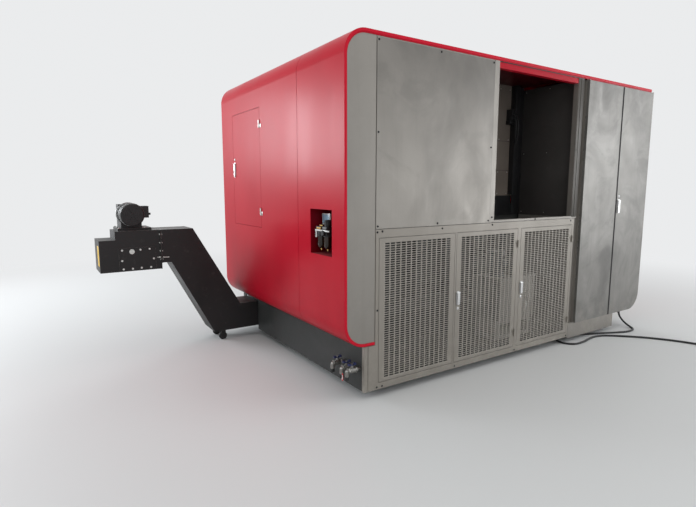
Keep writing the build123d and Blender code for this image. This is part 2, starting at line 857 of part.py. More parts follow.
def chuck_turn(angle):
    """Turns what is drawn along +Z of the chuck to a jaw's own direction."""
    return Pos(0, spindle_y, spindle_z) * Rot(angle, 0, 0)


def chuck_body():
    """Chuck with three radial ways for the jaws, and a sunk screw in its face between each two."""
    body = rod((chuck_face, spindle_y, spindle_z), (chuck_back, spindle_y, spindle_z), chuck_radius)
    body = chamfer(body.edges().filter_by(GeomType.CIRCLE).sort_by(Axis.X)[0], 6)
    half = jaw_width / 2 + clear
    for angle in jaw_angles:
        way = block((chuck_face - 1, chuck_face + 24), (-half, half),
                    (jaw_span[0] - jaw_travel - 3, chuck_radius + 5))
        body -= chuck_turn(angle) * way
        body -= chuck_turn(angle + 60) * rod((chuck_face - 1, 0, 95), (chuck_face + 16, 0, 95), 9)
    return body - bar_hole(chuck_face, chuck_back)


def chuck_jaw(angle):
    """Stepped jaw in its way, with the sunk holes of its two screws."""
    half = jaw_width / 2
    step = jaw_span[0] + 26
    base = block((chuck_face, chuck_face + 24 - clear), (-half, half), jaw_span)
    outer = block((chuck_face - 55, chuck_face), (-half, half), (step, jaw_span[1]))
    inner = block((chuck_face - 30, chuck_face), (-half, half), (jaw_span[0], step))
    jaw = base + outer + inner
    for face, up_span in ((chuck_face - 55, (step, jaw_span[1])), (chuck_face - 30, (jaw_span[0], step))):
        up = middle(up_span)
        jaw -= rod((face - 1, 0, up), (face + 12, 0, up), 8)
    return chuck_turn(angle) * jaw


def saddle():
    """Saddle on its rails with wipers at both ends, and the cross ways up the slant on its top."""
    x_span = (saddle_start, saddle_start + saddle_length)
    plate = slant_bar(x_span, (125, bed_up - 5), (6, saddle_height))
    wiper = 16
    for up in saddle_rails:
        plate += slant_bar(grown(x_span, wiper), grown((up, up), 38), (6, 62))
        plate -= rail_channel(grown(x_span, wiper), up)
    for x in (x_span[0] + 70, x_span[1] - 70):
        plate += slant_bar((x - 22, x + 22), (135, bed_up - 15), (saddle_height, saddle_height + 30))
    return plate


def cross_slide():
    """Slide over the cross ways, with the turret housing on it."""
    x_span = (saddle_start, saddle_start + saddle_length)
    low = saddle_height + clear
    slide = slant_bar(x_span, grown((turret_up, turret_up), 150), (low, 190))
    for x in (x_span[0] + 70, x_span[1] - 70):
        slide -= slant_bar(grown((x, x), 22 + clear), (0, 2 * turret_up), (0, saddle_height + 30 + clear))
    y, z = slant_point(turret_up, swing_height)
    housing = slant_run((x_span[0] + 30, x_span[1]),
                        ((turret_up - 135, 190), (turret_up + 135, 190), (turret_up + 135, 400),
                         (turret_up + 60, 465), (turret_up - 60, 465), (turret_up - 135, 400)))
    pin = rod((x_span[1], y, z), (x_span[1] + turret_thickness - 20, y, z), turret_pin_radius)
    return slide + housing + pin


def turret_disc():
    """Twelve-sided turret disc with a stepped face, tool holders on every second side."""
    x0 = saddle_start + saddle_length + clear
    x1 = x0 + turret_thickness
    y, z = slant_point(turret_up, swing_height)
    side_turn = 360 / turret_faces
    outline = RegularPolygon(turret_radius, turret_faces, major_radius=False, rotation=side_turn / 2)
    disc = run_x(Pos(y, z) * outline, (x0, x1))
    disc -= run_x(Pos(y, z) * (Circle(turret_radius - 34) - Circle(62)), (x1 - 8, x1 + 1))
    holders = []
    for face in range(turret_faces):
        turn = Pos(0, y, z) * Rot(face * side_turn, 0, 0)
        if face % 2:
            # Seat of a holder that isn't mounted
            disc -= turn * rod((x0 + 48, 0, turret_radius - 22), (x0 + 48, 0, turret_radius + 1), 17)
        else:
            holders.append(turn * tool_holder(x0, face % 4 == 0))
    disc = disc + holders
    return disc - rod((x0 - 1, y, z), (x1 - 20, y, z), turret_pin_radius + running)


def tool_holder(x0, turning):
    """Holder on a side of the turret, drawn up +Z: a turning tool in a clamp or a bored block."""
    foot = turret_radius - 4
    x_span = (x0 + 8, x0 + turret_thickness - 8)
    if turning:
        outline = ((-34, foot), (34, foot), (34, turret_radius + 26), (24, turret_radius + 36),
                   (-34, turret_radius + 36))
        holder = run_x(polygon(outline), x_span)
        shank = block((x0 + 38, x0 + 66), (-14, 12), (turret_radius, turret_radius + tool_reach - 8))
        tip = extrude(Plane(origin=(x0 + 52, -17, turret_radius + tool_reach - 18), z_dir=(0, 1, 0))
                      * Rectangle(22, 22, rotation=45), 6)
        wedge = block((x0 + 20, x0 + 36), (12, 30), (turret_radius + 30, turret_radius + 42))
        return holder + shank + tip + wedge
    holder = block(x_span, (-34, 34), (foot, turret_radius + 10))
    centre = turret_radius + 14
    sleeve = rod((x_span[0], 0, centre), (x_span[1], 0, centre), 30)
    return holder + sleeve - rod((x_span[0] - 1, 0, centre), (x_span[1] + 1, 0, centre), 16)


def tailstock():
    """Tailstock on its rails: a tapered foot and a turned barrel with a slit that clamps the quill."""
    x_span = (tail_start, tail_start + tail_length)
    ups = (tail_rails[1] - 40, tail_rails[0] + 48)
    body = slant_bar(x_span, ups, (6, 110))
    body += slant_run(x_span, ((-150, 110), (90, 110), (62, swing_height), (-62, swing_height)))
    front = x_span[1] + 12
    body += about_spindle(((x_span[0], 0), (x_span[0], 76), (x_span[0] + 12, 88), (x_span[1], 88),
                           (x_span[1], 74), (front, 74), (front, 0)))
    for up in tail_rails:
        body -= rail_channel(x_span, up)
    # The clamp: two lugs on the barrel with a slit between them down to the quill
    body += slant_bar((x_span[1] - 105, x_span[1] - 50), (-32, 32), (swing_height + 60, swing_height + 112))
    body -= slant_bar((x_span[1] - 130, front + 1), (-4, 4), (swing_height, swing_height + 113))
    return body - rod((x_span[0] - 1, spindle_y, spindle_z), (front + 1, spindle_y, spindle_z),
                      quill_radius + running)


def quill():
    """Quill with a taper socket in its nose."""
    nose = tail_start + tail_length + 40
    bar = rod((nose - quill_length, spindle_y, spindle_z), (nose, spindle_y, spindle_z), quill_radius)
    socket = Pos(nose, spindle_y, spindle_z) * Rot(0, -90, 0) * Pos(0, 0, 60) * Cone(22, 18, 120)
    return bar - socket


def hydraulic_unit():
    """Tank on its stand, with a lid, a pump motor, a valve block and a filler cap on top."""
    x_span = (1640, 2110)
    y_span = (150, 440)
    tank_z = (272, 640)
    stand = block(grown(x_span, -60), grown(y_span, -30), (base_floor, tank_z[0]))
    stand -= block(grown(x_span, -90), (0, base_front), (base_floor + 40, tank_z[0] - 40))
    tank = block(grown(x_span, -8), grown(y_span, -8), tank_z)
    tank += block(x_span, y_span, (tank_z[1] - 14, tank_z[1]))
    for x in (x_span[0] + 20, x_span[1] - 20):
        tank += block(grown((x, x), 12), y_span, tank_z)
    motor_place = (x_span[0] + 120, middle(y_span))
    outline = ((0, 0), (64, 0), (64, 40), (72, 48), (72, 180), (80, 184), (80, 220), (0, 220))
    motor = revolve(Plane(origin=(*motor_place, tank_z[1]), x_dir=(1, 0, 0), z_dir=(0, -1, 0))
                    * polygon(outline), Axis((*motor_place, 0), (0, 0, 1)))
    fins = 16
    for fin in range(fins):
        turn = Pos(*motor_place, tank_z[1]) * Rot(0, 0, 360 * fin / fins)
        motor += turn * block((66, 80), (-2, 2), (56, 182))
    valves = block((x_span[0] + 230, x_span[0] + 330), (210, 300), (tank_z[1], tank_z[1] + 70))
    for x in (x_span[0] + 255, x_span[0] + 305):
        valves += block(grown((x, x), 18), (180, 390), (tank_z[1] + 70, tank_z[1] + 112))
    cap = (x_span[1] - 60, y_span[1] - 60)
    filler = rod((*cap, tank_z[1]), (*cap, tank_z[1] + 18), 28)
    filler += rod((*cap, tank_z[1] + 18), (*cap, tank_z[1] + 40), 36)
    return stand + tank + motor + valves + filler


# Operator side

front_face = body_depth - skin


def front_panel():
    """Folded front with the operator's opening and the two door rails."""
    y_span = (front_face - 20, front_face)
    left = skin + 0.5
    corner = corner_radius - left
    upper = sheet((left, body_length - skin), front_panel_z, (0, 0, 0, corner))
    lower = sheet((left, shell_tuck), (shell_bottom + left, front_panel_z[0] + 1), (corner, 0, 0, 0))
    outline = upper + lower
    panel = run_y(outline, y_span) - run_y(offset(outline, -skin), (0, front_face - skin))
    panel += block(grown(front_opening_x, 14), y_span, grown(front_opening_z, 14))
    panel -= run_y(sheet(front_opening_x, front_opening_z, opening_corner), (0, body_depth + 1))
    rail_x = (slide_door_x[0] - 20, slide_door_x[1] + slide_travel + 20)
    rail_y = (front_face, front_face + slide_door_thickness + 8)
    panel += block(rail_x, rail_y, (slide_door_z[1] + clear, slide_door_z[1] + 34))
    panel += block(rail_x, rail_y, (slide_door_z[0] - 34, slide_door_z[0] - clear))
    for z_span in pendant_brackets():
        panel += block((pendant_x[0] - 60, pendant_x[0] - 14), (front_face, pendant_pin_y() + 22), z_span)
    x, y = pendant_x[0] - 35, pendant_pin_y()
    panel += rod((x, y, pendant_brackets()[0][1]), (x, y, pendant_brackets()[1][0]), pendant_pin_radius)
    return panel


def pendant_pin_y():
    return front_face + slide_door_thickness + 50


def pendant_brackets():
    middle_z = middle(pendant_z)
    return ((middle_z - 110, middle_z - 90), (middle_z + 90, middle_z + 110))


def front_apron():
    """Cover below the operator's opening, with a slope inside that leads chips down."""
    low = front_panel_z[0] - seam
    right = body_length - skin - 1
    left = shell_tuck + seam
    apron = block((left, right), (base_front, base_front + skin), (cabinet_bottom, low))
    apron += block((left, base_right), (base_front, base_front + skin), (base_bottom + 20, cabinet_bottom))
    shelf = block((left, right), (base_front, front_face), (low, front_panel_z[0]))
    slope = ((base_front, 560), (base_front, 565), (conveyor_y[1] - 12, conveyor_top + 42),
             (conveyor_y[1] - 12, conveyor_top + 37))
    return apron + shelf + run_x(polygon(slope), (bed_start, conveyor_end - 40))


def right_side_cover():
    """Cover of the spindle end, folded in below, with the round hole for the bar."""
    back = cabinet_depth + seam
    foot = base_front - seam
    step = front_panel_z[0]
    outline = ((back, cabinet_bottom), (foot, cabinet_bottom), (foot, step), (front_face, step),
               (front_face, body_height - skin), (back, body_height - skin))
    cover = run_x(polygon(outline), (body_length - skin, body_length))
    cover += block((base_right, body_length - 1), (back, foot), (cabinet_bottom, cabinet_bottom + skin))
    return cover - rod((body_length - 10, spindle_y, spindle_z), (body_length + 1, spindle_y, spindle_z), 95)


def slide_door_y():
    return (front_face + clear + 3, front_face + 3 + slide_door_thickness)


def operator_door():
    """Sliding door with its window opening and an upright bar handle."""
    y_span = slide_door_y()
    door = block(slide_door_x, y_span, slide_door_z)
    door -= block(grown(slide_door_x, -3), (0, y_span[1] - 3), grown(slide_door_z, -3))
    rim = sheet(grown(slide_window_x, 30), grown(slide_window_z, 30), window_corner + 30)
    door += run_y(rim, (y_span[0], y_span[1] + 4))
    door -= run_y(sheet(slide_window_x, slide_window_z, window_corner), (0, body_depth * 2))
    bar_x = slide_door_x[0] + 110
    bar_y = y_span[1] + 45
    door += rod((bar_x, bar_y, door_bar_z[0]), (bar_x, bar_y, door_bar_z[1]), 13)
    for z in grown(door_bar_z, -door_bar_post):
        door += rod((bar_x, y_span[1] - 1, z), (bar_x, y_span[1] + 5, z), 14)
        door += rod((bar_x, y_span[1] - 3, z), (bar_x, bar_y, z), 11)
    return door


def door_window():
    """Pane let into the sliding door."""
    y = middle(slide_door_y())
    outline = sheet(grown(slide_window_x, -clear), grown(slide_window_z, -clear), window_corner - clear)
    return run_y(outline, (y - glass_thickness / 2, y + glass_thickness / 2))


def control_pendant():
    """Control box on its swivel arm; the lower third is a sloping key panel."""
    back = pendant_pin_y() - 20
    front = back + pendant_depth
    low, high = pendant_z
    section = ((back, low + 60), (back, high), (front - 30, high), (front, low + 240), (front + 60, low),
               (back + 40, low))
    box = run_x(polygon(section), pendant_x)
    box -= screen_recess()
    box += key_rows()
    x, y = pendant_x[0] - 35, pendant_pin_y()
    lower, upper = pendant_brackets()
    hub = rod((x, y, lower[1] + clear), (x, y, upper[0] - clear), pendant_pin_radius + 14)
    web = block((x, pendant_x[0]), (y - 15, y + 30), (lower[1] + clear, upper[0] - clear))
    depth = stop_seat + stop_travel + 3
    socket = extrude(stop_face().offset(-depth) * Circle(stop_stem_radius + running), depth + 1)
    return box + web + hub - rod((x, y, low), (x, y, high), pendant_pin_radius + running) - socket


def screen_recess():
    """Sunk field of the screen in the upper face of the control box."""
    front = pendant_pin_y() - 20 + pendant_depth
    low, high = pendant_z
    upper = Vector(0, front - 30, high)
    lower = Vector(0, front, low + 240)
    slope = (lower - upper).normalized()
    place = Plane(origin=(upper + lower) / 2 + Vector(middle(pendant_x), 0, 0), x_dir=Vector(-1, 0, 0),
                  z_dir=Vector(1, 0, 0).cross(slope))
    width = pendant_x[1] - pendant_x[0] - 110
    height = (lower - upper).length - 80
    return extrude(place.offset(-7) * RectangleRounded(width, height, 10), 10)


def key_rows():
    """Rows of square keys between the knob and the stop button."""
    columns = 8
    rows = 3
    pitch = 34
    first = middle(pendant_x) - pitch * (columns - 1) / 2
    keys = []
    for column in range(columns):
        for row in range(rows):
            place = key_face(first + column * pitch, 0.25 + 0.25 * row)
            keys.append(extrude(place.offset(-1) * Rectangle(22, 22), 4))
    return keys


def key_face(x, along):
    """A place on the sloping key panel, with its own Z pointing out of the panel."""
    back = pendant_pin_y() - 20
    top = Vector(0, back + pendant_depth, pendant_z[0] + 240)
    low = Vector(0, back + pendant_depth + 60, pendant_z[0])
    point = top + (low - top) * along + Vector(x, 0, 0)
    slope = (low - top).normalized()
    normal = Vector(1, 0, 0).cross(slope)
    return Plane(origin=point, x_dir=Vector(-1, 0, 0), z_dir=normal)


def stop_face():
    return key_face(pendant_x[1] - 80, 0.5)


def stop_button():
    """Mushroom head of the emergency stop."""
    plane = stop_face()
    stem = extrude(plane.offset(-stop_seat) * Circle(stop_stem_radius), stop_seat + 2 * stop_travel)
    head = extrude(plane.offset(stop_travel + 3) * Circle(20), 14)
    return stem + chamfer(head.edges().filter_by(GeomType.CIRCLE), 3)


def override_knob():
    """Feed override knob with a grip bar."""
    plane = key_face(pendant_x[0] + 90, 0.5)
    knob = extrude(plane.offset(clear) * Circle(22), 12)
    grip = extrude(plane.offset(10) * Rectangle(10, 42), 14)
    return knob + grip


# Chip conveyor

def conveyor_outline():
    """Trough and rising part, seen from the service side."""
    return (
        (conveyor_end, conveyor_bottom), (conveyor_end, conveyor_top), (riser_back, conveyor_top),
        (head_right, head_top), (head_right - 60, head_top), (riser_lip[0], head_top),
        (riser_lip[0], riser_lip[1]), (riser_lip[0] + 80, riser_lip[1]), (riser_foot, conveyor_bottom),
    )


def conveyor_casing():
    """Trough in the base and the rising part, as one welded channel with a flange to the head."""
    outline = polygon(conveyor_outline())
    inner = offset(outline, -conveyor_wall)
    casing = run_y(outline, conveyor_y) - run_y(inner, grown(conveyor_y, -conveyor_wall))
    casing -= block((bed_start + 20, conveyor_end - 60), grown(conveyor_y, -16),
                    (conveyor_top - 20, conveyor_top + 5))
    casing -= block((riser_lip[0] - 5, riser_lip[0] + conveyor_wall + 1), grown(conveyor_y, -conveyor_wall),
                    (riser_lip[1] + 10, head_top - 10))
    casing += joint_flange((riser_lip[0], riser_lip[0] + 6), riser_lip[1])
    for y in wheel_places():
        for side in (-1, 1):
            cheek = y + side * (wheel_width / 2 + 4)
            casing += block(grown((wheel_x(), wheel_x()), 22), grown((cheek, cheek), 2.5),
                            (wheel_radius - 12, conveyor_bottom))
        start, end = grown((y, y), wheel_width / 2 + 5)
        casing += rod((wheel_x(), start, wheel_radius), (wheel_x(), end, wheel_radius), wheel_axle_radius)
    return casing


def joint_flange(x_span, bottom):
    """Upright flanges on both sides, where the head is screwed to the rising part."""
    flange = block(x_span, grown(conveyor_y, 16), (bottom, head_top))
    return flange - block(grown(x_span, 1), grown(conveyor_y, -conveyor_wall), (0, 2 * head_top))


def wheel_x():
    return riser_foot + 90


def wheel_places():
    return (conveyor_y[0] + 50, conveyor_y[1] - 50)


def conveyor_wheel(y):
    x = wheel_x()
    wheel = rod((x, y - wheel_width / 2, wheel_radius), (x, y + wheel_width / 2, wheel_radius), wheel_radius)
    wheel = chamfer(wheel.edges().filter_by(GeomType.CIRCLE), 4)
    return wheel - rod((x, y - wheel_width, wheel_radius), (x, y + wheel_width, wheel_radius),
                       wheel_axle_radius + running)


def head_outline():
    return (
        (riser_lip[0] - clear, head_bottom), (riser_lip[0] - clear, head_top), (head_step, head_top),
        (head_step, head_nose_top), (head_left, head_nose_top), (head_left, head_bottom),
    )


def conveyor_head():
    """Discharge head with its low nose, open below, and screwed plates round the drive shaft."""
    outline = polygon(head_outline())
    inner = offset(outline, -conveyor_wall)
    head = run_y(outline, conveyor_y) - run_y(inner, grown(conveyor_y, -conveyor_wall))
    head -= block((riser_lip[0] - 10, riser_lip[0] + 1), grown(conveyor_y, -conveyor_wall),
                  (riser_lip[1] + 10, head_top - 10))
    head -= block((head_left + 20, drive_x - 60), grown(conveyor_y, -16), (head_bottom - 1, head_bottom + 20))
    head += joint_flange((riser_lip[0] - clear - 6, riser_lip[0] - clear), head_bottom)
    plate = sheet(side_plate_x, side_plate_z, 12)
    head += run_y(plate, (conveyor_y[0] - 3, conveyor_y[0]))
    head += run_y(plate, (conveyor_y[1], conveyor_y[1] + 3))
    bearing = Pos(drive_x, drive_z) * RectangleRounded(110, 76, 30)
    head += run_y(bearing, (conveyor_y[1], conveyor_y[1] + 9))
    head -= rod((drive_x, 0, drive_z), (drive_x, body_depth, drive_z), drive_shaft_radius + running)
    return head


def belt_loop(reach):
    """Everything within reach of the belt's middle line: the outline of its loop."""
    run_height = middle((conveyor_bottom, conveyor_top))
    line = (
        (conveyor_end - 120, run_height),
        (middle((riser_foot, riser_back)), run_height),
        (middle((riser_lip[0] + 80, head_right)), drive_z),
        (drive_x, drive_z),
    )
    loop = None
    for start, end in zip(line, line[1:]):
        length = math.dist(start, end)
        turn = math.degrees(math.atan2(end[1] - start[1], end[0] - start[0]))
        strip = Pos(*middle_point(start, end)) * Rot(0, 0, turn) * Rectangle(length, 2 * reach)
        piece = strip + Pos(*start) * Circle(reach)
        loop = piece if loop is None else loop + piece
    return loop + Pos(*line[-1]) * Circle(reach)


def middle_point(start, end):
    return ((start[0] + end[0]) / 2, (start[1] + end[1]) / 2)


def conveyor_belt():
    """Hinged steel belt: plates between rolled eyes that stand out on its outer side."""
    inner = sprocket_radius + clear
    loop = belt_loop(inner + belt_thickness) - belt_loop(inner)
    line = belt_loop(inner + belt_knuckle + 0.1).face().outer_wire()
    links = round(line.length / belt_pitch)
    eyes = []
    for link in range(links):
        place = line.position_at(link / links)
        along = line.tangent_at(link / links)
        turn = math.degrees(math.atan2(along.Y, along.X))
        eyes.append(Pos(place.X, place.Y) * RegularPolygon(belt_knuckle, 6, rotation=turn))
    return run_y(loop + eyes, grown(conveyor_y, -conveyor_wall - 4))


def conveyor_shaft():
    """Drive shaft with two toothed wheels for the belt."""
    shaft = rod((drive_x, conveyor_y[0] - 6, drive_z), (drive_x, conveyor_y[1] + 12, drive_z),
                drive_shaft_radius)
    teeth = 10
    points = []
    for tooth in range(teeth):
        for share, radius in ((0, 0.84), (0.3, 1.0), (0.5, 1.0), (0.8, 0.84)):
            angle = 2 * math.pi * (tooth + share) / teeth
            points.append((drive_x + sprocket_radius * radius * math.cos(angle),
                           drive_z + sprocket_radius * radius * math.sin(angle)))
    for y in (conveyor_y[0] + 22, conveyor_y[1] - 34):
        shaft += run_y(polygon(points), (y, y + 12))
    return shaft


def conveyor_motor():
    """Geared motor on the head: finned body, fan cover, gearbox and terminal box."""
    y_front = conveyor_y[0] - 20
    body = rod((motor_x, y_front + 60, motor_z), (motor_x, y_front + 220, motor_z), motor_radius - 8)
    fins = []
    for fin in range(20):
        turn = Pos(motor_x, y_front + 60, motor_z) * Rot(0, fin * 18, 0)
        fins.append(turn * block((-2, 2), (0, 160), (motor_radius - 14, motor_radius)))
    cover = rod((motor_x, y_front, motor_z), (motor_x, y_front + 60, motor_z), motor_radius)
    cover = fillet(cover.edges().group_by(Axis.Y)[0], 12)
    plate_top = head_top + 20
    gearbox = block((motor_x - 75, motor_x + 75), (y_front + 220, conveyor_y[1] + 30),
                    (plate_top, motor_z + 80))
    plate = block((motor_x - 110, motor_x + 150), (y_front + 60, conveyor_y[1] + 10), (head_top, plate_top))
    side_y = (y_front + 90, y_front + 190)
    feet = block((motor_x - 80, motor_x + 80), side_y, (plate_top, motor_z - 60))
    terminals = block((motor_x + 60, motor_x + 140), side_y, (motor_z - 30, motor_z + 60))
    return body + fins + cover + gearbox + plate + feet + terminals


# Mains cable: out of the gland under the cabinet, down to the floor in a loop, along the foot of
# the machine and back, then away over the floor to its coil and plug

lying = cable_diameter / 2

# From the gland: X and Y, then the height above the floor
cable_line = [
    (0, 0, 166),
    (0, 0, 118),
    (10, -26, 68),
    (14, -76, 26),
    (-2, -134, lying),
    (-54, -186, lying),
    (-122, -202, lying),
    (-208, -194, lying),
    (-298, -158, lying),
    (-390, -116, lying),
    (-498, -70, lying),
    (-612, -20, lying),
    (-726, 28, lying),
    (-835, 54, lying),
    (-963, 56, lying),
    (-1017, 16, lying),
    (-1038, -47, lying),
    (-1017, -110, lying),
    (-963, -150, lying),
    (-835, -146, lying),
    (-730, -124, lying),
    (-622, -110, lying),
    (-524, -132, lying),
    (-442, -190, lying),
    (-362, -266, lying),
    (-268, -358, lying),
    (-176, -482, lying),
    (-104, -614, lying),
    (-58, -734, lying),
    (-34, -832, lying),
    (-26, -908, lying),
    (-23, -967, lying),
]
gland_x = body_length - gland_inset
cable_route = [(gland_x + x, gland_y + y, z) for x, y, z in cable_line]
coil_centre = (cable_route[-1][0] + coil_radius, cable_route[-1][1])


def cable_tube():
    """The cable from the gland to its coil, as straight runs joined by arcs."""
    points = [Vector(*point) for point in cable_route]
    runs = [end - start for start, end in zip(points, points[1:])]
    radii = []
    for before, after in zip(runs, runs[1:]):
        half_turn = math.radians(before.get_angle(after)) / 2
        radii.append(0.45 * min(before.length, after.length) / math.tan(half_turn))
    path = FilletPolyline(*points, radius=radii)
    print("cable radii", [round(radius) for radius in radii])
    tube = sweep(Plane(origin=points[0], z_dir=runs[0]) * Circle(cable_diameter / 2), path=path)
    section = math.pi * cable_diameter**2 / 4
    print("cable volume over section times length", round(tube.volume / (section * path.length), 4))
    print("cable tube length", round(path.length))
    return tube


def cable_coil():
    """Outer shape of the coil that the rest of the cable is wound into."""
    outer = coil_radius + cable_diameter / 2 + 2
    ring = Circle(outer) - Circle(coil_radius - 1.5 * cable_diameter - 2)
    return run_z(Pos(*coil_centre) * ring, (0, 2 * cable_diameter + 1))


def cable_plug():
    """Round industrial plug beside the coil, with the boot that the cable enters."""
    x, y = cable_route[-1][:2]
    back = y - 52
    z = plug_radius
    mouth = Plane(origin=(x, back, z), z_dir=(0, -1, 0)) * Circle(cable_diameter / 2 + 3)
    boot = extrude(mouth, 62, taper=-4)
    grip = rod((x, back - 60, z), (x, back - 120, z), plug_radius - 4)
    collar = rod((x, back - 120, z), (x, back - 175, z), plug_radius)
    return boot + grip + collar - rod((x, back - 140, z), (x, back - 176, z), plug_radius - 5)


# All pieces by name

def make_pieces():
    pieces = {
        "machine_base": machine_base(),
        "levelling_feet": levelling_feet(),
        "slant_bed": slant_bed(),
        "guide_rails": guide_rails(),
        "headstock": headstock(),
        "spindle": spindle(),
        "chuck_body": chuck_body(),
        "saddle": saddle(),
        "cross_slide": cross_slide(),
        "turret_disc": turret_disc(),
        "tailstock": tailstock(),
        "quill": quill(),
        "hydraulic_unit": hydraulic_unit(),
        "rear_shell": rear_shell(),
        "front_shell": front_shell(),
        "column_plate": column_plate(),
        "upper_plate": upper_plate(),
        "bay_frame": bay_frame(),
        "bay_back_wall": bay_back_wall(),
        "lower_frame": lower_frame(),
        "slotted_panel": slotted_panel(0),
        "slotted_door_1": slotted_door(1),
        "slotted_door_2": slotted_door(2),
        "slotted_door_1_handle": mesh_handles[0] * handle_lever(small_handle),
        "slotted_door_2_handle": mesh_handles[1] * handle_lever(small_handle),
        "cabinet_body": cabinet_body(),
        "cabinet_gear": cabinet_gear(),
        "cabinet_left_leaf": cabinet_leaf(0),
        "cabinet_right_leaf": cabinet_leaf(1),
        "cabinet_handle": cabinet_handle * handle_lever(large_handle),
        "access_door": access_door(),
        "access_door_handle": access_handle * handle_lever(large_handle),
        "service_recess": service_recess(),
        "air_filter_unit": air_filter_unit(),
        "regulator_knob": regulator_knob(),
        "valve_bank": valve_bank(),
        "right_side_cover": right_side_cover(),
        "front_panel": front_panel(),
        "front_apron": front_apron(),
        "operator_door": operator_door(),
        "door_window": door_window(),
        "control_pendant": control_pendant(),
        "stop_button": stop_button(),
        "override_knob": override_knob(),
        "conveyor_casing": conveyor_casing(),
        "conveyor_head": conveyor_head(),
        "conveyor_belt": conveyor_belt(),
        "conveyor_shaft": conveyor_shaft(),
        "conveyor_motor": conveyor_motor(),
        "mains_cable": cable_tube(),
        "mains_cable_coil": cable_coil(),
        "mains_cable_plug": cable_plug(),
    }
    for number, angle in enumerate(jaw_angles, 1):
        pieces[f"chuck_jaw_{number}"] = chuck_jaw(angle)
    for number, place in enumerate(valve_places, 1):
        pieces[f"valve_lever_{number}"] = valve_lever(place)
    for number, y in enumerate(wheel_places(), 1):
        pieces[f"conveyor_wheel_{number}"] = conveyor_wheel(y)
    return pieces


cable_nodes = ("mains_cable", "mains_cable_coil", "mains_cable_plug")


def footprint_middle(pieces):
    """The middle of the footprint of the machine, without its cable."""
    boxes = [piece.bounding_box() for name, piece in pieces.items() if name not in cable_nodes]
    x = middle((min(box.min.X for box in boxes), max(box.max.X for box in boxes)))
    y = middle((min(box.min.Y for box in boxes), max(box.max.Y for box in boxes)))
    return Vector(x, y, 0)


pieces = make_pieces()
origin = footprint_middle(pieces)
os.makedirs("parts", exist_ok=True)
for name, piece in pieces.items():
    placed = Pos(-origin.X, -origin.Y, 0) * piece
    export_step(placed, f"parts/{name}.step")
print(len(pieces), "pieces, origin at", round(origin.X, 3), round(origin.Y, 3))
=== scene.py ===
import math

import bmesh
import bpy
from mathutils import Matrix, Vector
from mathutils.geometry import delaunay_2d_cdt


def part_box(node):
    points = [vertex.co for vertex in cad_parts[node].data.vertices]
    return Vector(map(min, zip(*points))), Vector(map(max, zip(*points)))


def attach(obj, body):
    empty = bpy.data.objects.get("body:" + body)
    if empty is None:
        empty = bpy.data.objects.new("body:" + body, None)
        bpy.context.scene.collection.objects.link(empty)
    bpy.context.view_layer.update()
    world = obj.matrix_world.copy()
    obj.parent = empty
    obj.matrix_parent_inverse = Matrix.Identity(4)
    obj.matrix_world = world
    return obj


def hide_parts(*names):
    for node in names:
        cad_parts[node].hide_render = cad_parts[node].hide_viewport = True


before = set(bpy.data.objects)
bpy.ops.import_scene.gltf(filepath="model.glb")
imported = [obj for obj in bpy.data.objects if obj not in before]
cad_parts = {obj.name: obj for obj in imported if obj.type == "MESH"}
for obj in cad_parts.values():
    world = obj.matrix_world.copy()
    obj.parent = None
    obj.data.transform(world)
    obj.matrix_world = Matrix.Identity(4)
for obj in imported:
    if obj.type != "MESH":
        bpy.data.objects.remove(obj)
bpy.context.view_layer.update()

# Places are in millimetres from the red end, the service face and the floor, as X, Y and Z
MM = 0.001
SHELL_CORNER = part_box("rear_shell")[0]
START = Vector((SHELL_CORNER.x, SHELL_CORNER.y, 0))
LEFT, RIGHT = (-1, 0, 0), (1, 0, 0)
FRONT, BACK = (0, -1, 0), (0, 1, 0)
DOWN, UP = (0, 0, -1), (0, 0, 1)


def at(x, y, z):
    """A place in metres, in the shared frame."""
    return START + Vector((x, y, z)) * MM


def span(node):
    """A node's spans along X, Y and Z, to a hundredth of a millimetre."""
    corners = ((corner - START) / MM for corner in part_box(node))
    return tuple(zip(*([round(place, 2) for place in corner] for corner in corners)))


def by(middle, reach):
    """The span that reaches as far to both sides of its middle."""
    return middle - reach, middle + reach


def polar(radius, degrees):
    turn = math.radians(degrees)
    return radius * math.cos(turn), radius * math.sin(turn)


def around(radius, start, step, count):
    """Places along a circle, one step in degrees after another."""
    return [polar(radius, start + step * index) for index in range(count)]


def add(name, data):
    item = bpy.data.objects.new(name, data)
    bpy.context.collection.objects.link(item)
    return item


# Camera, at the photograph's place

view = bpy.data.cameras.new("photo_view")
view.sensor_width = 36
view.lens = 25.22
view.clip_end = 200
camera = add("photo_view", view)
camera.location = at(-1609.6, -2508.3, 1400)
camera.rotation_euler = (math.radians(82.3), 0, math.radians(-33.11))
bpy.context.scene.camera = camera


# Mesh building

def across(direction):
    """A direction and two more across it, as unit vectors."""
    direction = Vector(direction).normalized()
    u = Vector(UP if abs(direction.z) < 0.9 else RIGHT).cross(direction).normalized()
    return direction, u, direction.cross(u)


def ring(centre, u, v, radius, sides):
    """Points of a circle, with its radius in millimetres, in the plane of u and v."""
    turns = [2 * math.pi * side / sides for side in range(sides)]
    return [centre + (u * math.cos(turn) + v * math.sin(turn)) * radius * MM for turn in turns]


def bend(points, steps=6):
    """A smooth line through chosen points."""
    points = [Vector(point) for point in points]
    padded = [points[0] * 2 - points[1]] + points + [points[-1] * 2 - points[-2]]
    line = []
    for a, b, c, d in zip(padded, padded[1:], padded[2:], padded[3:]):
        for step in range(steps):
            t = step / steps
            line.append(0.5 * ((2 * b) + (c - a) * t + (2 * a - 5 * b + 4 * c - d) * t * t
                               + (3 * b - a - 3 * c + d) * t ** 3))
    return line + [points[-1]]


